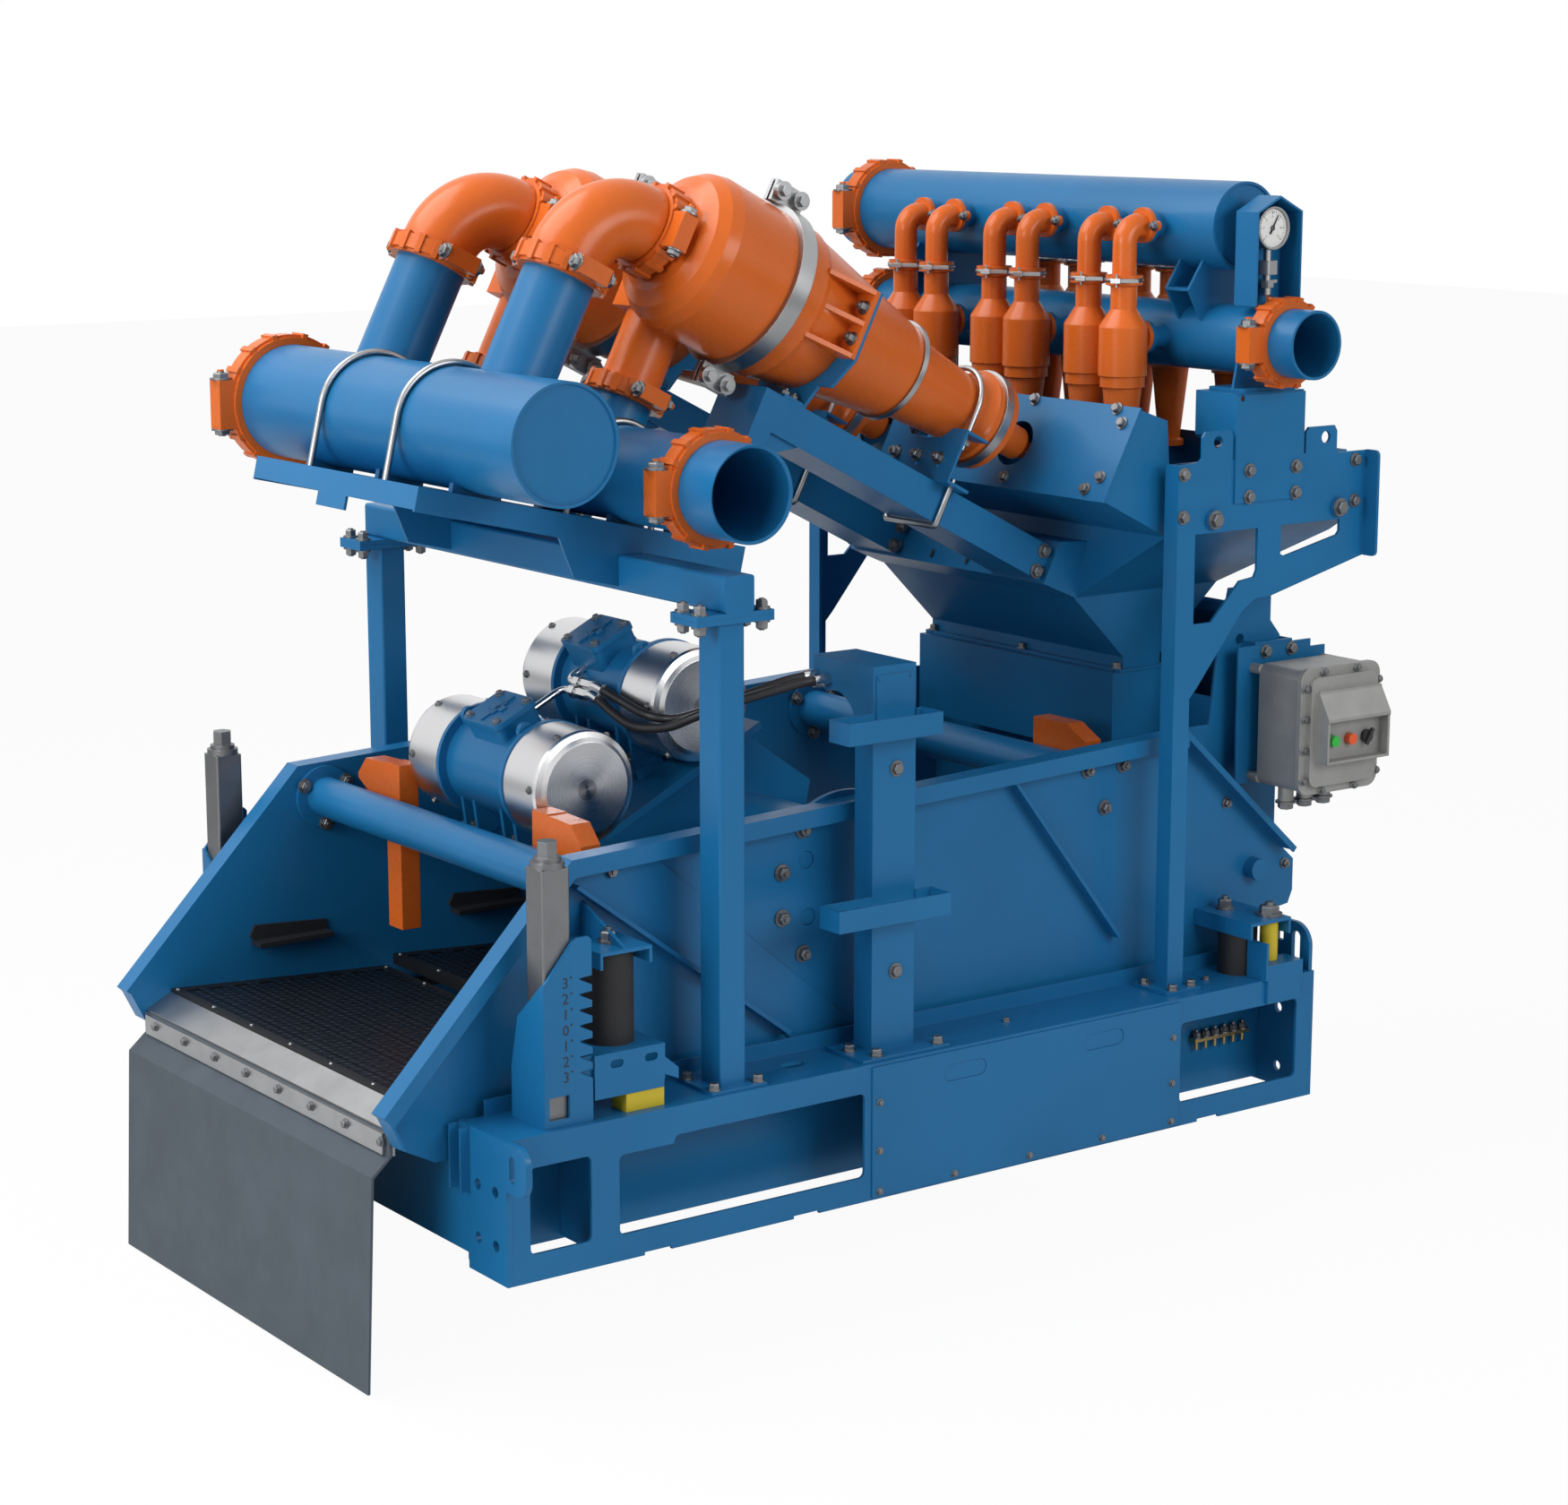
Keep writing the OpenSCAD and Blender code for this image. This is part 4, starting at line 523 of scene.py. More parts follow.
def grow(name, seed, recipe, slot, finish=None, **sizes):
    """Runs a recipe on a seed mesh and keeps the plain mesh that comes out."""
    holder = put_in_scene(name + "_seed", seed)
    modifier = holder.modifiers.new("recipe", "NODES")
    modifier.node_group = recipe.tree
    socket_of = {item.name: item.identifier for item in recipe.tree.interface.items_tree
                 if item.in_out == "INPUT"}
    modifier[socket_of["Material"]] = MATERIALS[finish or slot]
    for label, value in sizes.items():
        modifier[socket_of[label]] = value
    mesh = plain_mesh(holder)
    mesh.name = name
    keep(name, mesh, slot, finish)


def points_mesh(name, places, **carried):
    """A mesh of loose points; each keyword is a list of numbers or vectors they carry."""
    mesh = bpy.data.meshes.new(name)
    mesh.from_pydata(places, [], [])
    for label, values in carried.items():
        is_vector = not isinstance(values[0], (int, float))
        layer = mesh.attributes.new(label, "FLOAT_VECTOR" if is_vector else "FLOAT", "POINT")
        for entry, value in zip(layer.data, values):
            if is_vector:
                entry.vector = value
            else:
                entry.value = value
    return mesh


# %% [markdown]
# ## Bolts
# Some three hundred and fifty zinc-plated bolts and screws hold the machine together.
# Each is a round washer, a hexagon with a turned crown, and on the structural joints the
# end of the stud. They could be copied in a loop, but a tree keeps one bolt that can be
# changed for all. Where the CAD has a bolt, the zinc one sits over it like a cap, a
# little larger all round.

# %% The bolt recipe
def bolt_recipe():
    """A bolt for a head of size 1: washer, hexagon, crown and the end of its stud."""
    r = Recipe("bolt on every point", Cover=0.0006, Stud=0.5)
    washer_top, hexagon_tall, hexagon_r = 0.25, 0.62, 1.16
    washer = r.cylinder(20, 1.5, washer_top)
    hexagon = r.cylinder(6, hexagon_r, hexagon_tall, washer_top)
    crown = r.add("GeometryNodeMeshCone", Vertices=6, Radius_Top=0.98, Radius_Bottom=hexagon_r,
                  Depth=0.13)
    crown = r.shifted(crown, (0, 0, washer_top + hexagon_tall))
    stud = r.cylinder(12, 0.52, r.inputs["Stud"])
    wide = r.calc("ADD", r.carried("head"), r.inputs["Cover"])
    tall = r.calc("ADD", r.carried("tall"), r.inputs["Cover"])
    return r.on_points(r.joined(washer, hexagon, crown, stud), Scale=r.vector(wide, wide, tall))


BOLT = bolt_recipe()
UP, DOWN, NEAR, FAR = (0, 0, 1), (0, 0, -1), (0, -1, 0), (0, 1, 0)


def bolt_at(x, y, z, aim, head, tall):
    """A bolt in millimetres: where its washer sits, where it points, head radius and height."""
    return Vector((x, y, z)) * MM, Vector(aim), head * MM, tall * MM


def both_sides(bolts):
    """The bolts and their mirror images on the far side."""
    flip = Matrix.Diagonal((1, -1, 1))
    return bolts + [(flip @ at, flip @ aim, head, tall) for at, aim, head, tall in bolts]


def moved(matrix, bolts):
    """The bolts of a sub-part, taken from its own place to the machine's."""
    turn = matrix.to_3x3()
    return [(matrix @ at, turn @ aim, head, tall) for at, aim, head, tall in bolts]


def set_bolts(name, bolts, slot="steel", finish="zinc_steel", stud=0.5):
    """Grows one piece out of many bolts; stud is its height beside the head's, 0.5 to hide it."""
    at, aim, head, tall = zip(*bolts)
    seed = points_mesh(name + "_points", at, aim=aim, head=head, tall=tall)
    grow(name, seed, BOLT, slot, finish, Stud=stud)


# %% Places, in millimetres and degrees
def spin(axis, degrees):
    """A turn about one axis."""
    return Matrix.Rotation(radians(degrees), 4, axis)


def shift(x, y, z):
    """A move in millimetres, as a matrix in metres."""
    return Matrix.Translation(Vector((x, y, z)) * MM)


def turned(x, z, degrees):
    """A place on the machine that is turned about the Y axis."""
    return shift(x, 0, z) @ spin("Y", degrees)


def circle(x, z, radius, degrees):
    """Places in X and Z on a circle, one for each angle."""
    return [(x + radius * cos(radians(a)), z + radius * sin(radians(a))) for a in degrees]


# %% Bolts of the base, the posts and the basket
FOOT_TOP, FLANGE_TOP, FLANGE_UNDER, TOWER_FACE = 336, 1409, 1385, -764
REAR_FEET = ((745, -690), (760, -776), (828, -768))
TOWER_FEET = ((-210, -730), (-180, -795), (0, -795))
foot_bolts = [bolt_at(x, y, FOOT_TOP, UP, 10, 16) for x in (-640, -520) for y in (-798, -690)]
foot_bolts += [bolt_at(x, y, FOOT_TOP, UP, 9, 14) for x, y in REAR_FEET]
tower_bolts = [bolt_at(x, y, FOOT_TOP, UP, 10, 16) for x, y in TOWER_FEET]
tower_bolts += [bolt_at(-103, TOWER_FACE, z, NEAR, 12, 12) for z in (520, 1000)]
set_bolts("post_bolts", both_sides(foot_bolts) + tower_bolts)

head_bolts = [bolt_at(x, y, z, aim, 12, 20) for z, aim in ((FLANGE_TOP, UP), (FLANGE_UNDER, DOWN))
              for x in (-660, -494) for y in (-780, -716)]
set_bolts("portal_bolts", both_sides(head_bolts), stud=1.15)

BEAM_X, BEAM_Z, BEAM_BOLTS_R = -130, 701, 196
TUBES, TUBE_BOLTS_R = ((-850, 792), (667, 850)), 67
PANEL_OUT, PANEL_IN = -612, -596
beam_places = circle(BEAM_X, BEAM_Z, BEAM_BOLTS_R, (131, 164, 196, 229))
tube_places = [place for x, z in TUBES for place in circle(x, z, TUBE_BOLTS_R, (30, 150, 270))]
basket_bolts = [bolt_at(x, PANEL_OUT, z, NEAR, 13, 18) for x, z in beam_places]
basket_bolts += [bolt_at(x, PANEL_OUT, z, NEAR, 12, 18) for x, z in tube_places]
basket_bolts += [bolt_at(x, PANEL_IN, z, FAR, 12, 14) for x, z in tube_places]
basket_bolts += [bolt_at(x, PANEL_OUT, z, NEAR, 9, 14) for x, z in ((1292, 556), (1080, 742))]
set_bolts("basket_bolts", both_sides(basket_bolts), stud=1.35)

buffer_bolts = [bolt_at(-862, -712, 694, UP, 15, 26), bolt_at(1040, -660, 480, UP, 15, 26),
                bolt_at(1085, -775, 480, UP, 22, 26)]
set_bolts("buffer_bolts", both_sides(buffer_bolts), stud=1.3)

# %% Small screws of the covers, the ledges and the flap strip
COVER_FACE, COVER_ROWS = -829, (19, 117, 234)
FLAP_SCREWS, FLAP_FIRST_Y, FLAP_PITCH = 8, -582, 158.6
EARTH_BOLTS, EARTH_FIRST_X, EARTH_PITCH = 6, 958, 32
cover_places = [(x, z) for x in (-195, 716) for z in COVER_ROWS]
cover_places += [(x, COVER_ROWS[0]) for x in (28, 259, 490)]
cover_screws = [bolt_at(x, COVER_FACE, z, NEAR, 5.5, 7) for x, z in cover_places]
ledge_screws = [bolt_at(x, -728, 328, UP, 6, 9) for x in (265, 917)]
set_bolts("cover_screws", both_sides(cover_screws + ledge_screws))
flap_screws = [bolt_at(-1366, FLAP_FIRST_Y + FLAP_PITCH * i, 298, (-1, 0, 0), 7, 9)
               for i in range(FLAP_SCREWS)]
set_bolts("flap_screws", flap_screws)
earth_bolts = [bolt_at(EARTH_FIRST_X + EARTH_PITCH * i, -655, 150, UP, 9, 16)
               for i in range(EARTH_BOLTS)]
set_bolts("earth_bolts", earth_bolts, slot="brass", finish="zinc_steel", stud=1.4)

# %% Bolts of the motors, which stand on a sloping seat
MOTOR_TILT = 26.2
SEAT_TOP, COVER_R, COVER_SCREWS_Y = -124, 137, 268
motor_bolts = []
for motor_x, motor_z in MOTORS:
    motor = turned(motor_x, motor_z, -MOTOR_TILT)
    motor_bolts += moved(motor, [bolt_at(x, y, SEAT_TOP, UP, 16, 22)
                                 for x in (-125, 125) for y in (-95, 95)])
    motor_bolts += moved(motor, [bolt_at(x, y, z, (x / COVER_R, 0, z / COVER_R), 6, 5)
                                 for x, z in circle(0, 0, COVER_R, range(30, 360, 60))
                                 for y in (-COVER_SCREWS_Y, COVER_SCREWS_Y)])
set_bolts("motor_bolts", motor_bolts, stud=1.4)

# %% Bolts of the two desander cones and their saddles
CONE_X, CONE_Y, CONE_Z, CONE_SLOPE = 243, 284, 1862, 117


def cone_axis(y):
    """A cone's own place: local z runs down its sloping axis."""
    return shift(CONE_X, y, CONE_Z) @ spin("Y", CONE_SLOPE)


cone_bolts = both_sides([bolt_at(x, -194, -276, DOWN, 11, 18) for x in (-47, 32)])
cone_bolts += [bolt_at(199, y, s, (-1, 0, 0), 8, 12) for s in (-309, -283) for y in (-70, 70)]
cone_bolts += [bolt_at(150, y, 176, DOWN, 10, 20) for y in (-84, 0, 84)]
both_cones = [bolt for y in (-CONE_Y, CONE_Y) for bolt in moved(cone_axis(y), cone_bolts)]
set_bolts("cone_bolts", both_cones, stud=1.3)

# %% Bolts of the hopper, its lid and the rear frame
HOOD_LOW, HOOD_HIGH = Vector((591, 1555)), Vector((703, 1769))
LID_THICK, FRAME_FACE = 5, -750
hood = HOOD_HIGH - HOOD_LOW
lid_place = turned(*HOOD_LOW, Vector((1, 0)).angle_signed(hood) * 180 / pi)
lid_places = [(x, y) for x in (23, hood.length - 6) for y in (-603, -296, 296, 603)]
lid_places += [(x, y) for x in (58, hood.length - 41) for y in (-640, 640)]
lid_bolts = [bolt_at(x, y, LID_THICK, UP, 10, 14) for x, y in lid_places]
throat_bolts = [bolt_at(912, y, 1074, UP, 9, 15) for y in (-375, 0, 375)]
box_bolts = [bolt_at(x, -616, 1122, NEAR, 11, 14) for x in (1200, 1290)]
set_bolts("hopper_bolts", moved(lid_place, lid_bolts) + throat_bolts + box_bolts)

FRAME_CORNERS = ((781, 1614), (781, 1510), (1362, 1613), (1362, 1510))
frame_bolts = [bolt_at(x, FRAME_FACE, z, NEAR, 11, 14) for x, z in FRAME_CORNERS]
frame_bolts += [bolt_at(x, FRAME_FACE - 6, z, NEAR, 11, 14) for x in (992, 1149)
                for z in (1546, 1611)]
frame_bolts += [bolt_at(x, FRAME_FACE - 10, 1498, NEAR, 15, 16) for x in (879, 1304)]
set_bolts("frame_bolts", both_sides(frame_bolts))


# %% Bolts of the pipe couplings
def coupling_bolts(place, radius, width):
    """Two long bolts through the ears of a coupling, head on one side and nut on the other."""
    ear_x, ear_y = radius + 38, 0.3 * radius + 18
    head = width * 0.27
    bolts = []
    for x in (-ear_x, ear_x):
        bolts += [bolt_at(x, ear_y, 0, FAR, head, 16), bolt_at(x, -ear_y, 0, NEAR, head, 14)]
    return moved(place, bolts)


# Where each coupling's middle is, its pipe's radius and its own width.
HEADER_COUPLINGS = (((-925, 600, 1786), 136.5, 62), ((-530, -640, 1664), 109.5, 60),
                    ((1070, 811, 2196), 109.5, 60), ((1070, 790, 1921), 84, 56),
                    ((1070, -785, 1921), 84, 58))
in_line = spin("Z", 90)
branch = spin("Y", 90) @ in_line
CONE_COUPLINGS = ((shift(178, 0, -953) @ branch, 84, 50), (shift(0, 0, -774) @ in_line, 84, 50),
                  (shift(335, 116, -599) @ branch, 70, 46))
couplings = []
for at, radius, width in HEADER_COUPLINGS:
    couplings += coupling_bolts(shift(*at) @ spin("X", 90), radius, width)
for cone_y in (-CONE_Y, CONE_Y):
    for place, radius, width in CONE_COUPLINGS:
        couplings += coupling_bolts(cone_axis(cone_y) @ place, radius, width)
set_bolts("coupling_bolts", couplings, stud=1.2)

# %% Screws of the switch box, the glands and the desilter clamps
BOX_X, BOX_Z, BOX_FACE = (1143, 1420), (782, 1106), -815
SCREW_IN = 10
box_places = [(x, BOX_Z[0] + up) for x in (BOX_X[0] + SCREW_IN, BOX_X[1] - SCREW_IN)
              for up in (40, 118, 198, 276)]
box_places += [(BOX_X[0] + along, z) for along in (75, 190)
               for z in (BOX_Z[0] + SCREW_IN, BOX_Z[1] - SCREW_IN)]
box_screws = [bolt_at(x, BOX_FACE, z, NEAR, 6, 6) for x, z in box_places]
glands = [bolt_at(x, -715, 752, DOWN, 17, 20) for x in (1190, 1255, 1320)]
set_bolts("box_screws", box_screws + glands, slot="grey_paint")

CONE_ROWS = ((855, -1), (1357, 1))
CONE_YS = (-438, -306, -66, 66, 306, 438)
OVERFLOW_Z, LUG_X, LUG_Y = 2196, 54, 48
clamp_screws = [bolt_at(row_x - side * LUG_X, y + lug, OVERFLOW_Z, (side, 0, 0), 8, 13)
                for row_x, side in CONE_ROWS for y in CONE_YS for lug in (-LUG_Y, LUG_Y)]
set_bolts("clamp_screws", clamp_screws, stud=1.3)

# %% [markdown]
# ## Screen tiles
# A screen panel is a punched plate with fine cloth bonded on it, so it looks like rows of
# small dark tiles with narrow joints, and each row is shifted by half a tile. One tile is
# a flat block. A point in the middle of each carries a copy, and the fine weave on top is
# left to the material.

# %% Screen tile recipe
def tile_recipe():
    r = Recipe("tile on every point", Length=0.0305, Width=0.0395, Thickness=0.0012)
    size = r.vector(r.inputs["Length"], r.inputs["Width"], r.inputs["Thickness"])
    return r.on_points(r.add("GeometryNodeMeshCube", Size=size).outputs["Mesh"])


# %% Lay the tiles on the three panels and rivet their edges
SCREENS, SCREEN_TILT, SCREEN_TOP = ((-1286, 338), (-664, 330), (-42, 322)), 3.4, 26
TILE_ROWS, FIRST_ROW, ROW_PITCH, TILES, TILE_PITCH = 17, 36, 33, 27, 42
TILE_LIFT = 0.6
rivet_places = [(x, y) for x in (9, 591) for y in range(-585, 586, 195)]
tiles, tile_aims, rivets = [], [], []
for screen_x, screen_z in SCREENS:
    screen = turned(screen_x, screen_z, SCREEN_TILT)
    for row in range(TILE_ROWS):
        row_shift = TILE_PITCH / 4 if row % 2 else -TILE_PITCH / 4
        for k in range(TILES):
            y = (k - (TILES - 1) / 2) * TILE_PITCH + row_shift
            middle = Vector((FIRST_ROW + row * ROW_PITCH, y, SCREEN_TOP + TILE_LIFT))
            tiles.append(screen @ (middle * MM))
            tile_aims.append(screen.to_3x3() @ Vector(UP))
    rivets += moved(screen, [bolt_at(x, y, SCREEN_TOP, UP, 4, 3) for x, y in rivet_places])
tile_seed = points_mesh("screen_tiles", tiles, aim=tile_aims)
grow("screen_cloth", tile_seed, tile_recipe(), "black_screen")
set_bolts("screen_rivets", rivets, finish="steel")

# %% [markdown]
# ## Clamps on the small cones
# A bright toggle clamp closes each small cone's overflow elbow: a thin steel band with a
# block and a lever that point to the walkway. The band is a circle swept with a flat
# profile. All twelve are one recipe, so a change of size changes them all.

# %% Toggle clamp recipe
def clamp_recipe():
    """A band of a given radius; the block, the lever and its pin stand on its +X side."""
    r = Recipe("toggle clamp on every point", Radius=0.0475, Band=0.009, Thickness=0.0025)
    ring = r.add("GeometryNodeCurvePrimitiveCircle", Resolution=40, Radius=r.inputs["Radius"])
    profile = r.add("GeometryNodeCurvePrimitiveQuadrilateral", Width=r.inputs["Thickness"],
                    Height=r.inputs["Band"])
    band = r.add("GeometryNodeCurveToMesh", Curve=ring.outputs["Curve"],
                 Profile_Curve=profile.outputs["Curve"])
    reach = r.calc("ADD", r.inputs["Radius"], 0.009)
    block = r.add("GeometryNodeMeshCube", Size=(0.018, 0.026, 0.012))
    block = r.shifted(block, r.vector(reach, 0.0, 0.0))
    lever = r.add("GeometryNodeMeshCube", Size=(0.005, 0.060, 0.009))
    lever = r.shifted(lever, r.vector(reach, 0.026, 0.0), turn=(0, 0, 0.18))
    pin = r.add("GeometryNodeMeshCylinder", Vertices=12, Radius=0.003, Depth=0.034)
    pin = r.shifted(pin, r.vector(reach, 0.0, 0.0))
    return r.on_points(r.joined(band.outputs["Mesh"], block, lever, pin), axis="X")


CLAMP_Z, CLAMP_SWING = 2064, -0.55
clamp_places = [Vector((row_x, y, CLAMP_Z)) * MM for row_x, _ in CONE_ROWS for y in CONE_YS]
clamp_aims = [Vector((side, CLAMP_SWING, 0)).normalized() for _, side in CONE_ROWS for _ in CONE_YS]
clamp_seed = points_mesh("clamp_points", clamp_places, aim=clamp_aims)
grow("toggle_clamps", clamp_seed, clamp_recipe(), "steel")

# %% [markdown]
# ## Plates, bars and numbers
# The rest are single shapes. A flat outline pushed to a thickness makes a plate, a bent
# round bar is a curve with a bevel, and a number is a text object. Each is turned into a
# mesh, moved to its place, and then left at the origin.

# %% Plate, bar and number helpers
def plate(outline, place, depth, soften=0.0):
    """A closed plate: an outline in X and Y in millimetres, pushed up by depth."""
    form = bmesh.new()
    face = form.faces.new([form.verts.new(Vector((x, y, 0)) * MM) for x, y in outline])
    top = bmesh.ops.extrude_face_region(form, geom=[face])["geom"]
    rise = Vector((0, 0, depth * MM))
    bmesh.ops.translate(form, vec=rise, verts=[v for v in top if isinstance(v, bmesh.types.BMVert)])
    bmesh.ops.recalc_face_normals(form, faces=form.faces)
    if soften:
        bmesh.ops.bevel(form, geom=list(form.edges), offset=soften * MM, segments=2, affect="EDGES")
    form.transform(place)
    return form


def keep_forms(name, forms, slot, finish=None):
    """Joins several shapes into one mesh and keeps it."""
    whole = bmesh.new()
    for form in forms:
        part = bpy.data.meshes.new("part")
        form.to_mesh(part)
        form.free()
        whole.from_mesh(part)
        bpy.data.meshes.remove(part)
    mesh = bpy.data.meshes.new(name)
    whole.to_mesh(mesh)
    whole.free()
    keep(name, mesh, slot, finish)


def rectangle(length, width):
    """An outline round the origin, as are the next two."""
    x, y = length / 2, width / 2
    return [(-x, -y), (x, -y), (x, y), (-x, y)]


def stadium(length, width, steps=12):
    """A slot shape with round ends."""
    half, r = (length - width) / 2, width / 2
    right = [(half + r * sin(pi * k / steps), -r * cos(pi * k / steps)) for k in range(steps + 1)]
    return right + [(-x, -y) for x, y in right]


def disc(radius, sides=48):
    angles = [2 * pi * k / sides for k in range(sides)]
    return [(radius * cos(a), radius * sin(a)) for a in angles]


def facing_near(x, y, z):
    """A place on the near side whose local Z points at the walkway and local Y up."""
    return shift(x, y, z) @ spin("X", 90)


def facing_far(x, y, z):
    """The same on the far side, seen from there."""
    return shift(x, y, z) @ spin("Z", 180) @ spin("X", 90)


SIDES = ((-1, facing_near), (1, facing_far))


def number(text, size, place, thickness=0.5):
    """A plain number as a bmesh, centred on its place."""
    data = bpy.data.curves.new("number", "FONT")
    data.body, data.size = text, size * MM
    data.align_x, data.align_y = "CENTER", "CENTER"
    data.extrude = thickness * MM
    data.resolution_u = 3
    mesh = plain_mesh(put_in_scene("number", data))
    form = bmesh.new()
    form.from_mesh(mesh)
    form.transform(place)
    bpy.data.meshes.remove(mesh)
    return form


def bent_bar(name, points, radius, finish=None):
    """A round steel bar that follows points in metres, as a plain mesh."""
    holder = put_in_scene(name + "_path", round_curve(name, points, radius, resolution=3))
    keep(name, plain_mesh(holder), "steel", finish)


# %% Ferrules pressed on the hose ends
FERRULE_R, MOTOR_END, POST_END = 14.5, slice(0, 6), slice(-5, None)
for hose_name, hose_line in (("upper", upper_line), ("lower", lower_line)):
    for end_name, end in (("motor", MOTOR_END), ("post", POST_END)):
        bent_bar(f"ferrule_{hose_name}_{end_name}", hose_line[end], FERRULE_R, "bright_zinc")

# %% Slot covers in the base panels, and the relief on the terminal boxes
BASE_SKIN, SLOT_COVER_Z, BOX_TOP = 825.5, 268, 164
slot_covers = [plate(stadium(127.6, 39.6), place(x, side * BASE_SKIN, SLOT_COVER_Z), 2)
               for x in (58, 490) for side, place in SIDES]
keep_forms("slot_covers", slot_covers, "blue_paint")

TERMINAL_BOXES = ((14, -10), (-12, 34))
RELIEF_BARS = ((104, 8), (50, 22), (18, 58))
relief, lid_screws = [], []
for (motor_x, motor_z), (box_x, box_y) in zip(MOTORS, TERMINAL_BOXES):
    lid_top = turned(motor_x, motor_z, -MOTOR_TILT) @ shift(box_x, box_y, BOX_TOP)
    for length, width in RELIEF_BARS:
        relief.append(plate(rectangle(length, width), lid_top, 4, soften=0.8))
    corners = [(x, y) for x in (-46, 46) for y in (-60, 60)]
    lid_screws += moved(lid_top, [bolt_at(x, y, 0, UP, 7, 9) for x, y in corners])
keep_forms("lid_relief", relief, "blue_paint")
set_bolts("lid_screws", lid_screws)

# %% Square bolts that hold the cone carriers
RAIL_X, RAIL_DEEP, RAIL_YS = 207, 90, (-378, -199)
SQUARE_R, SQUARE_Z, LEG_LONG, CLEAR, CORNER = 8, 225, 24, 9, 6
leg, bottom = RAIL_X - LEG_LONG, RAIL_X + RAIL_DEEP + CLEAR
low, high = RAIL_YS[0] - CLEAR, RAIL_YS[1] + CLEAR
square_bolt = [(leg, low), (bottom - CORNER, low), (bottom, low + CORNER),
               (bottom, high - CORNER), (bottom - CORNER, high), (leg, high)]
for side_name, side in (("far", -1), ("near", 1)):
    bent = [cone_axis(0) @ (Vector((x, side * y, SQUARE_Z)) * MM) for x, y in square_bolt]
    bent_bar("carrier_bolt_" + side_name, bent, SQUARE_R)

# %% Bolts at the ends of the cone carriers, and painted shade in the slots of the cross beam they stand on
carrier_ends = [bolt_at(x, y, z, aim, 12, 14) for x, z in ((659, 1397), (634, 1349))
                for y, aim in zip(RAIL_YS, (NEAR, FAR))]
set_bolts("carrier_bolts", both_sides(carrier_ends), stud=1.2)
CROSS_FOOT, CROSS_TOP = Vector((640, 1319)), Vector((690, 1420))
CROSS_LEAN = -63.6


def on_cross_beam(y, z):
    """A place on the cross beam's front face whose local X runs up the face."""
    share = (z - CROSS_FOOT.y) / (CROSS_TOP.y - CROSS_FOOT.y)
    return shift(CROSS_FOOT.x + share * (CROSS_TOP.x - CROSS_FOOT.x), y, z) @ spin("Y", CROSS_LEAN)


beam_bolts = []
for y in (-208, -366, 208, 366):
    beam_bolts += moved(on_cross_beam(y, 1347), [bolt_at(0, 0, 0, UP, 12, 14)])
set_bolts("beam_bolts", beam_bolts, stud=1.2)
SLOT_PLACES = ((62, 1389), (60, 1343), (-83, 1343), (-83, 1389))
# Each slot is a thin black plate on the beam's face: painted shade where the beam is open.
beam_slot_shadows = [plate(stadium(22, 9), on_cross_beam(y, z), 0.8) for y, z in SLOT_PLACES]
keep_forms("beam_slot_shadows", beam_slot_shadows, "black_paint", "black_print_and_shade")

# %% Backs of the two round places in the basket sides
HOLE_R, HOLE_BACK, HOLES = 21.2, 606.5, ((-247, 775), (-242, 639))
hole_backs = [plate(disc(HOLE_R), place(x, side * HOLE_BACK, z), 1.5)
              for x, z in HOLES for side, place in SIDES]
keep_forms("hole_backs", hole_backs, "blue_paint")

# %% Scale numbers on the jack plates
SCALE_X, SCALE_FACE, SCALE_TOP, SCALE_STEP = -1034, 808.2, 647, 35
DOT_ASIDE, DOT_UP, DOT_R = 15, 12, 2.6
scale_numbers = []
for k, text in enumerate("3210123"):
    z = SCALE_TOP - k * SCALE_STEP
    for side, place in SIDES:
        face, dot_x = side * SCALE_FACE, SCALE_X - side * DOT_ASIDE
        scale_numbers.append(number(text, 34, place(SCALE_X, face, z)))
        scale_numbers.append(plate(disc(DOT_R, 12), place(dot_x, face, z + DOT_UP), 0.5))
keep_forms("scale_numbers", scale_numbers, "black_paint", "black_print_and_shade")

# %% [markdown]
# ## The pressure gauge
# A white dial sits in the steel case behind the needle. Its marks are one bar, set round
# the dial by a recipe: a point for each mark carries the bar's direction and length.

# %% Dial
GAUGE_X, GAUGE_FACE, GAUGE_Z, DIAL_R = 1058, -744, 2196, 46.6
dial = plate(disc(DIAL_R), facing_near(GAUGE_X, GAUGE_FACE, GAUGE_Z), 0.6)
keep_forms("gauge_dial", [dial], "steel", "dial_white")
MARKS, LONG_EVERY, DIAL_START, DIAL_SWEEP = 31, 5, 225, 270
MARKS_R, NUMBERS_R = 42, 28


def mark_recipe():
    """A bar of length 1 whose outer end is on the point."""
    r = Recipe("bar on every point", Depth=0.0006)
    bar = r.shifted(r.add("GeometryNodeMeshCube", Size=(1, 1, 1)), (0, 0, -0.5))
    size = r.vector(r.carried("head"), r.inputs["Depth"], r.carried("tall"))
    return r.on_points(bar, Scale=size)


def way_to(mark):
    """How far right and up a mark is from the dial's centre, for a dial of radius 1."""
    a = radians(DIAL_START - DIAL_SWEEP * mark / (MARKS - 1))
    return cos(a), sin(a)


mark_at, mark_aim, mark_thick, mark_long = [], [], [], []
for k in range(MARKS):
    right, up = way_to(k)
    out = Vector((right, 0, up))
    thick, long = (0.8, 4.5) if k % LONG_EVERY else (1.6, 8.0)
    mark_at.append((Vector((GAUGE_X, GAUGE_FACE - 0.8, GAUGE_Z)) + out * MARKS_R) * MM)
    mark_aim.append(out)
    mark_thick.append(thick * MM)
    mark_long.append(long * MM)
marks = points_mesh("dial_points", mark_at, aim=mark_aim, head=mark_thick, tall=mark_long)
grow("dial_marks", marks, mark_recipe(), "black_paint", "black_print_and_shade")

dial_numbers = []
for k in range(0, MARKS, LONG_EVERY):
    right, up = way_to(k)
    place = facing_near(GAUGE_X + NUMBERS_R * right, GAUGE_FACE - 0.6, GAUGE_Z + NUMBERS_R * up)
    dial_numbers.append(number(str(k // LONG_EVERY * 2), 8, place, 0.2))
keep_forms("dial_numbers", dial_numbers, "black_paint", "black_print_and_shade")

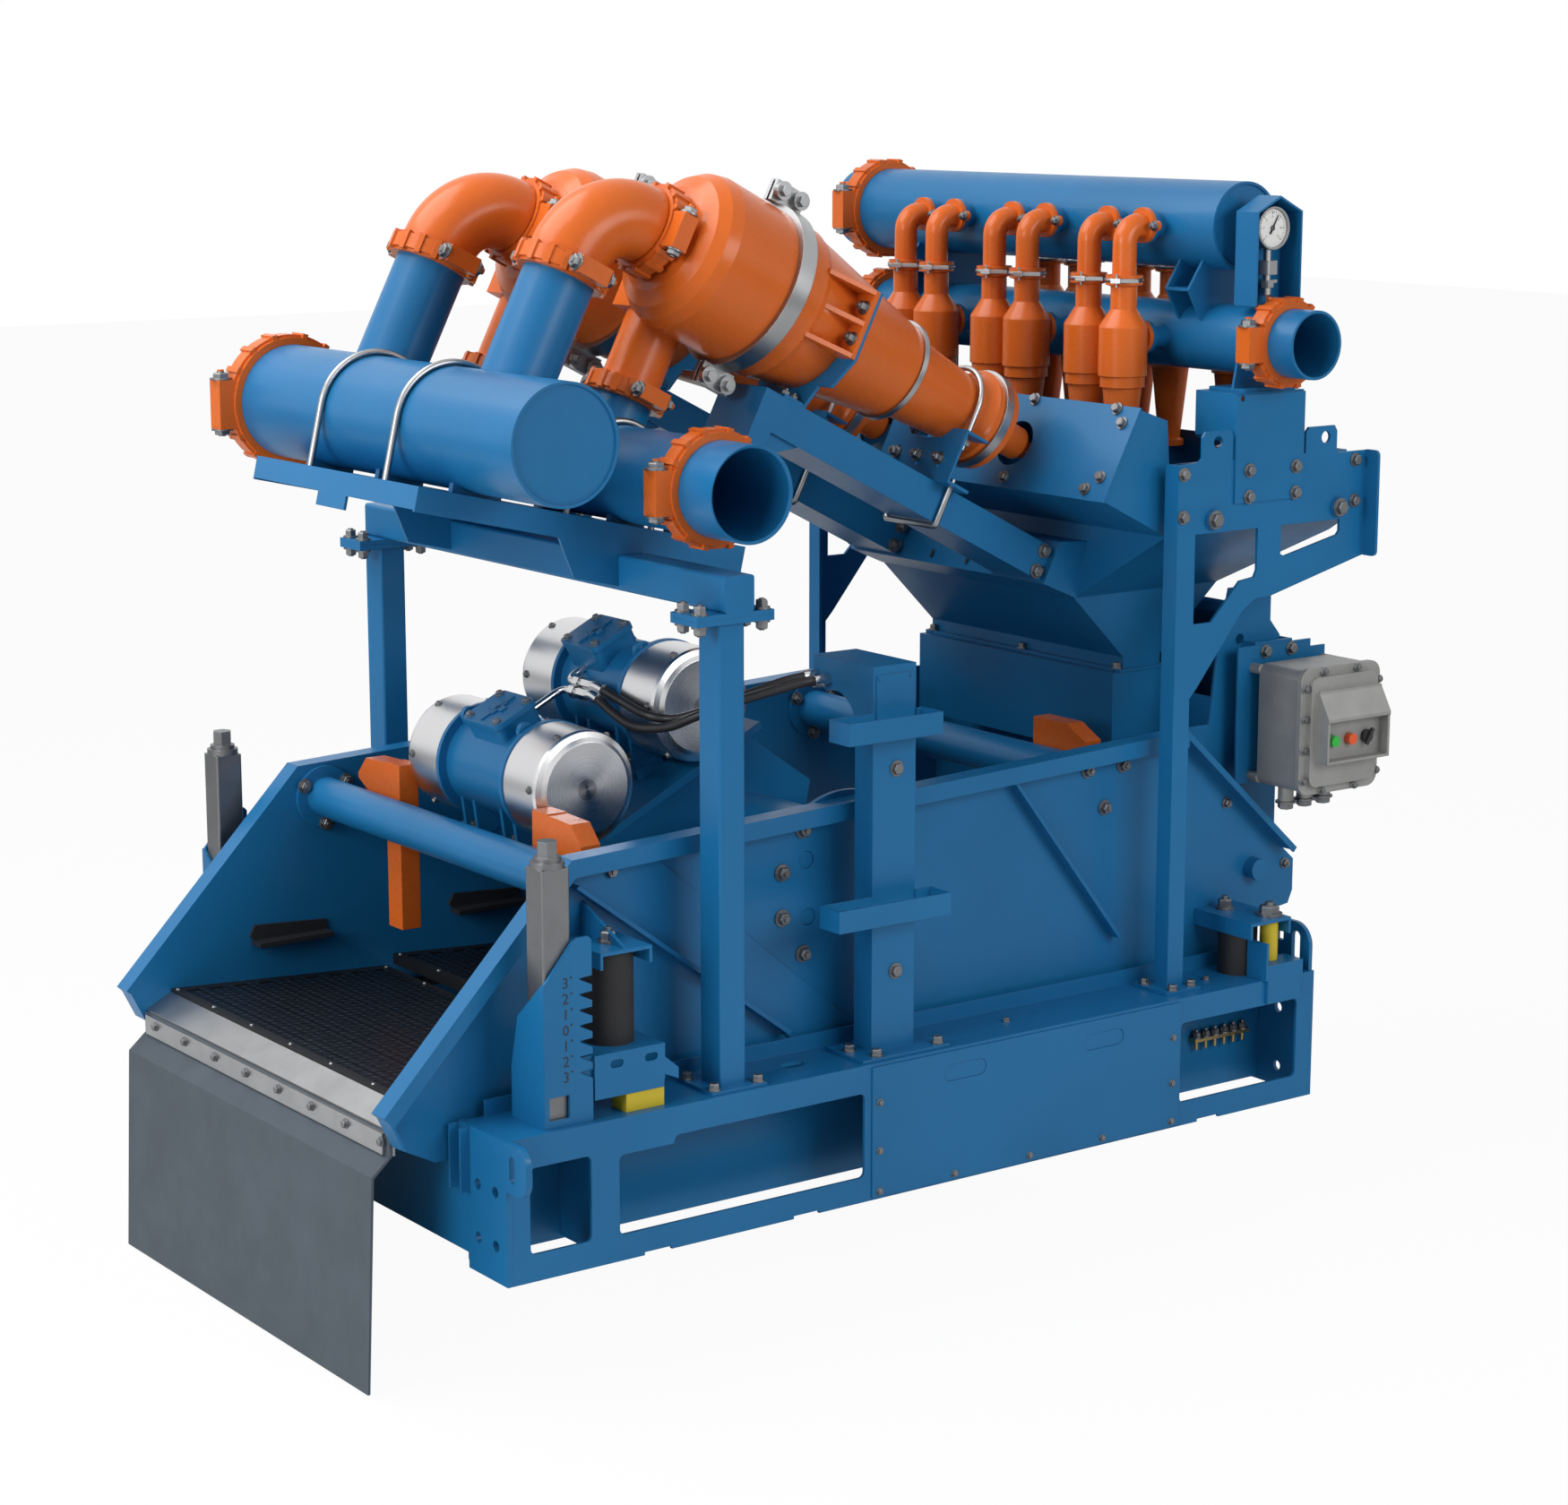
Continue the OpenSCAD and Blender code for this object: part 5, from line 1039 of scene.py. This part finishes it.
# %% [markdown]
# ## Studio
# The photograph shows the machine on plain white under soft light from above, with a
# darker near side. A wide lamp above gives the shine on the pipes, one on the left lights
# the discharge end, a weaker one fills the near side, and a pale world does the rest. The
# camera and mirrors see pure white instead of that world, as in the photograph.

# %% Floor, lamps and world
FLOOR_Z, FLOOR_REACH = -0.272, 30


def floor_finish():
    """Matt white that catches a little shadow; most of what the camera sees is glow."""
    f = Finish("floor_white")
    f.set(Base_Color=(0.86, 0.86, 0.86, 1), Roughness=0.9, Specular_IOR_Level=0.1)
    glow = f.add("ShaderNodeEmission", Color=(1, 1, 1, 1), Strength=1.0)
    seen = f.add("ShaderNodeLightPath").outputs["Is Camera Ray"]
    mix = f.add("ShaderNodeMixShader", Fac=f.between(seen, 0.0, 0.95))
    f.links.new(f.shader.outputs["BSDF"], mix.inputs[1])
    f.links.new(glow.outputs["Emission"], mix.inputs[2])
    f.links.new(mix.outputs["Shader"], f.nodes["Material Output"].inputs["Surface"])
    return f.material


floor_mesh = bpy.data.meshes.new("floor")
floor_corners = [(x * FLOOR_REACH, y * FLOOR_REACH, FLOOR_Z)
                 for x, y in ((-1, -1), (1, -1), (1, 1), (-1, 1))]
floor_mesh.from_pydata(floor_corners, [], [(0, 1, 2, 3)])
floor_mesh.materials.append(floor_finish())
put_in_scene("floor", floor_mesh)


def lamp(name, at, aim, size, power):
    """A soft rectangular lamp at one place, turned to another."""
    data = bpy.data.lights.new(name, "AREA")
    data.shape = "RECTANGLE"
    data.size, data.size_y = size
    data.energy = power
    lamp_object = put_in_scene(name, data)
    lamp_object.location = at
    lamp_object.rotation_euler = (Vector(aim) - Vector(at)).to_track_quat("-Z", "Y").to_euler()


lamp("top_light", (-2.5, 1.5, 6.0), (0, 0, 1.2), (5, 4), 300)
lamp("left_light", (-6.5, -1.5, 3.2), (0, 0, 1.0), (3, 3), 200)
lamp("near_light", (1.5, -6.5, 3.6), (0.2, 0, 1.0), (4, 2.5), 175)

world = bpy.data.worlds.new("studio")
world.use_nodes = True
bpy.context.scene.world = world
world_nodes, wire = world.node_tree.nodes, world.node_tree.links.new
light = world_nodes["Background"]
light.inputs["Color"].default_value = (0.95, 0.97, 1.0, 1)
light.inputs["Strength"].default_value = 0.25
white = world_nodes.new("ShaderNodeBackground")
white.inputs["Color"].default_value = (1, 1, 1, 1)
rays = world_nodes.new("ShaderNodeLightPath").outputs
sees_white = rays["Is Camera Ray"]
for kind in ("Is Transmission Ray", "Is Glossy Ray"):
    either = world_nodes.new("ShaderNodeMath")
    either.operation = "MAXIMUM"
    wire(sees_white, either.inputs[0])
    wire(rays[kind], either.inputs[1])
    sees_white = either.outputs["Value"]
mixer = world_nodes.new("ShaderNodeMixShader")
wire(sees_white, mixer.inputs["Fac"])
wire(light.outputs["Background"], mixer.inputs[1])
wire(white.outputs["Background"], mixer.inputs[2])
wire(mixer.outputs["Shader"], world_nodes["World Output"].inputs["Surface"])
bpy.context.scene.view_settings.view_transform = "Standard"
print("studio ready")
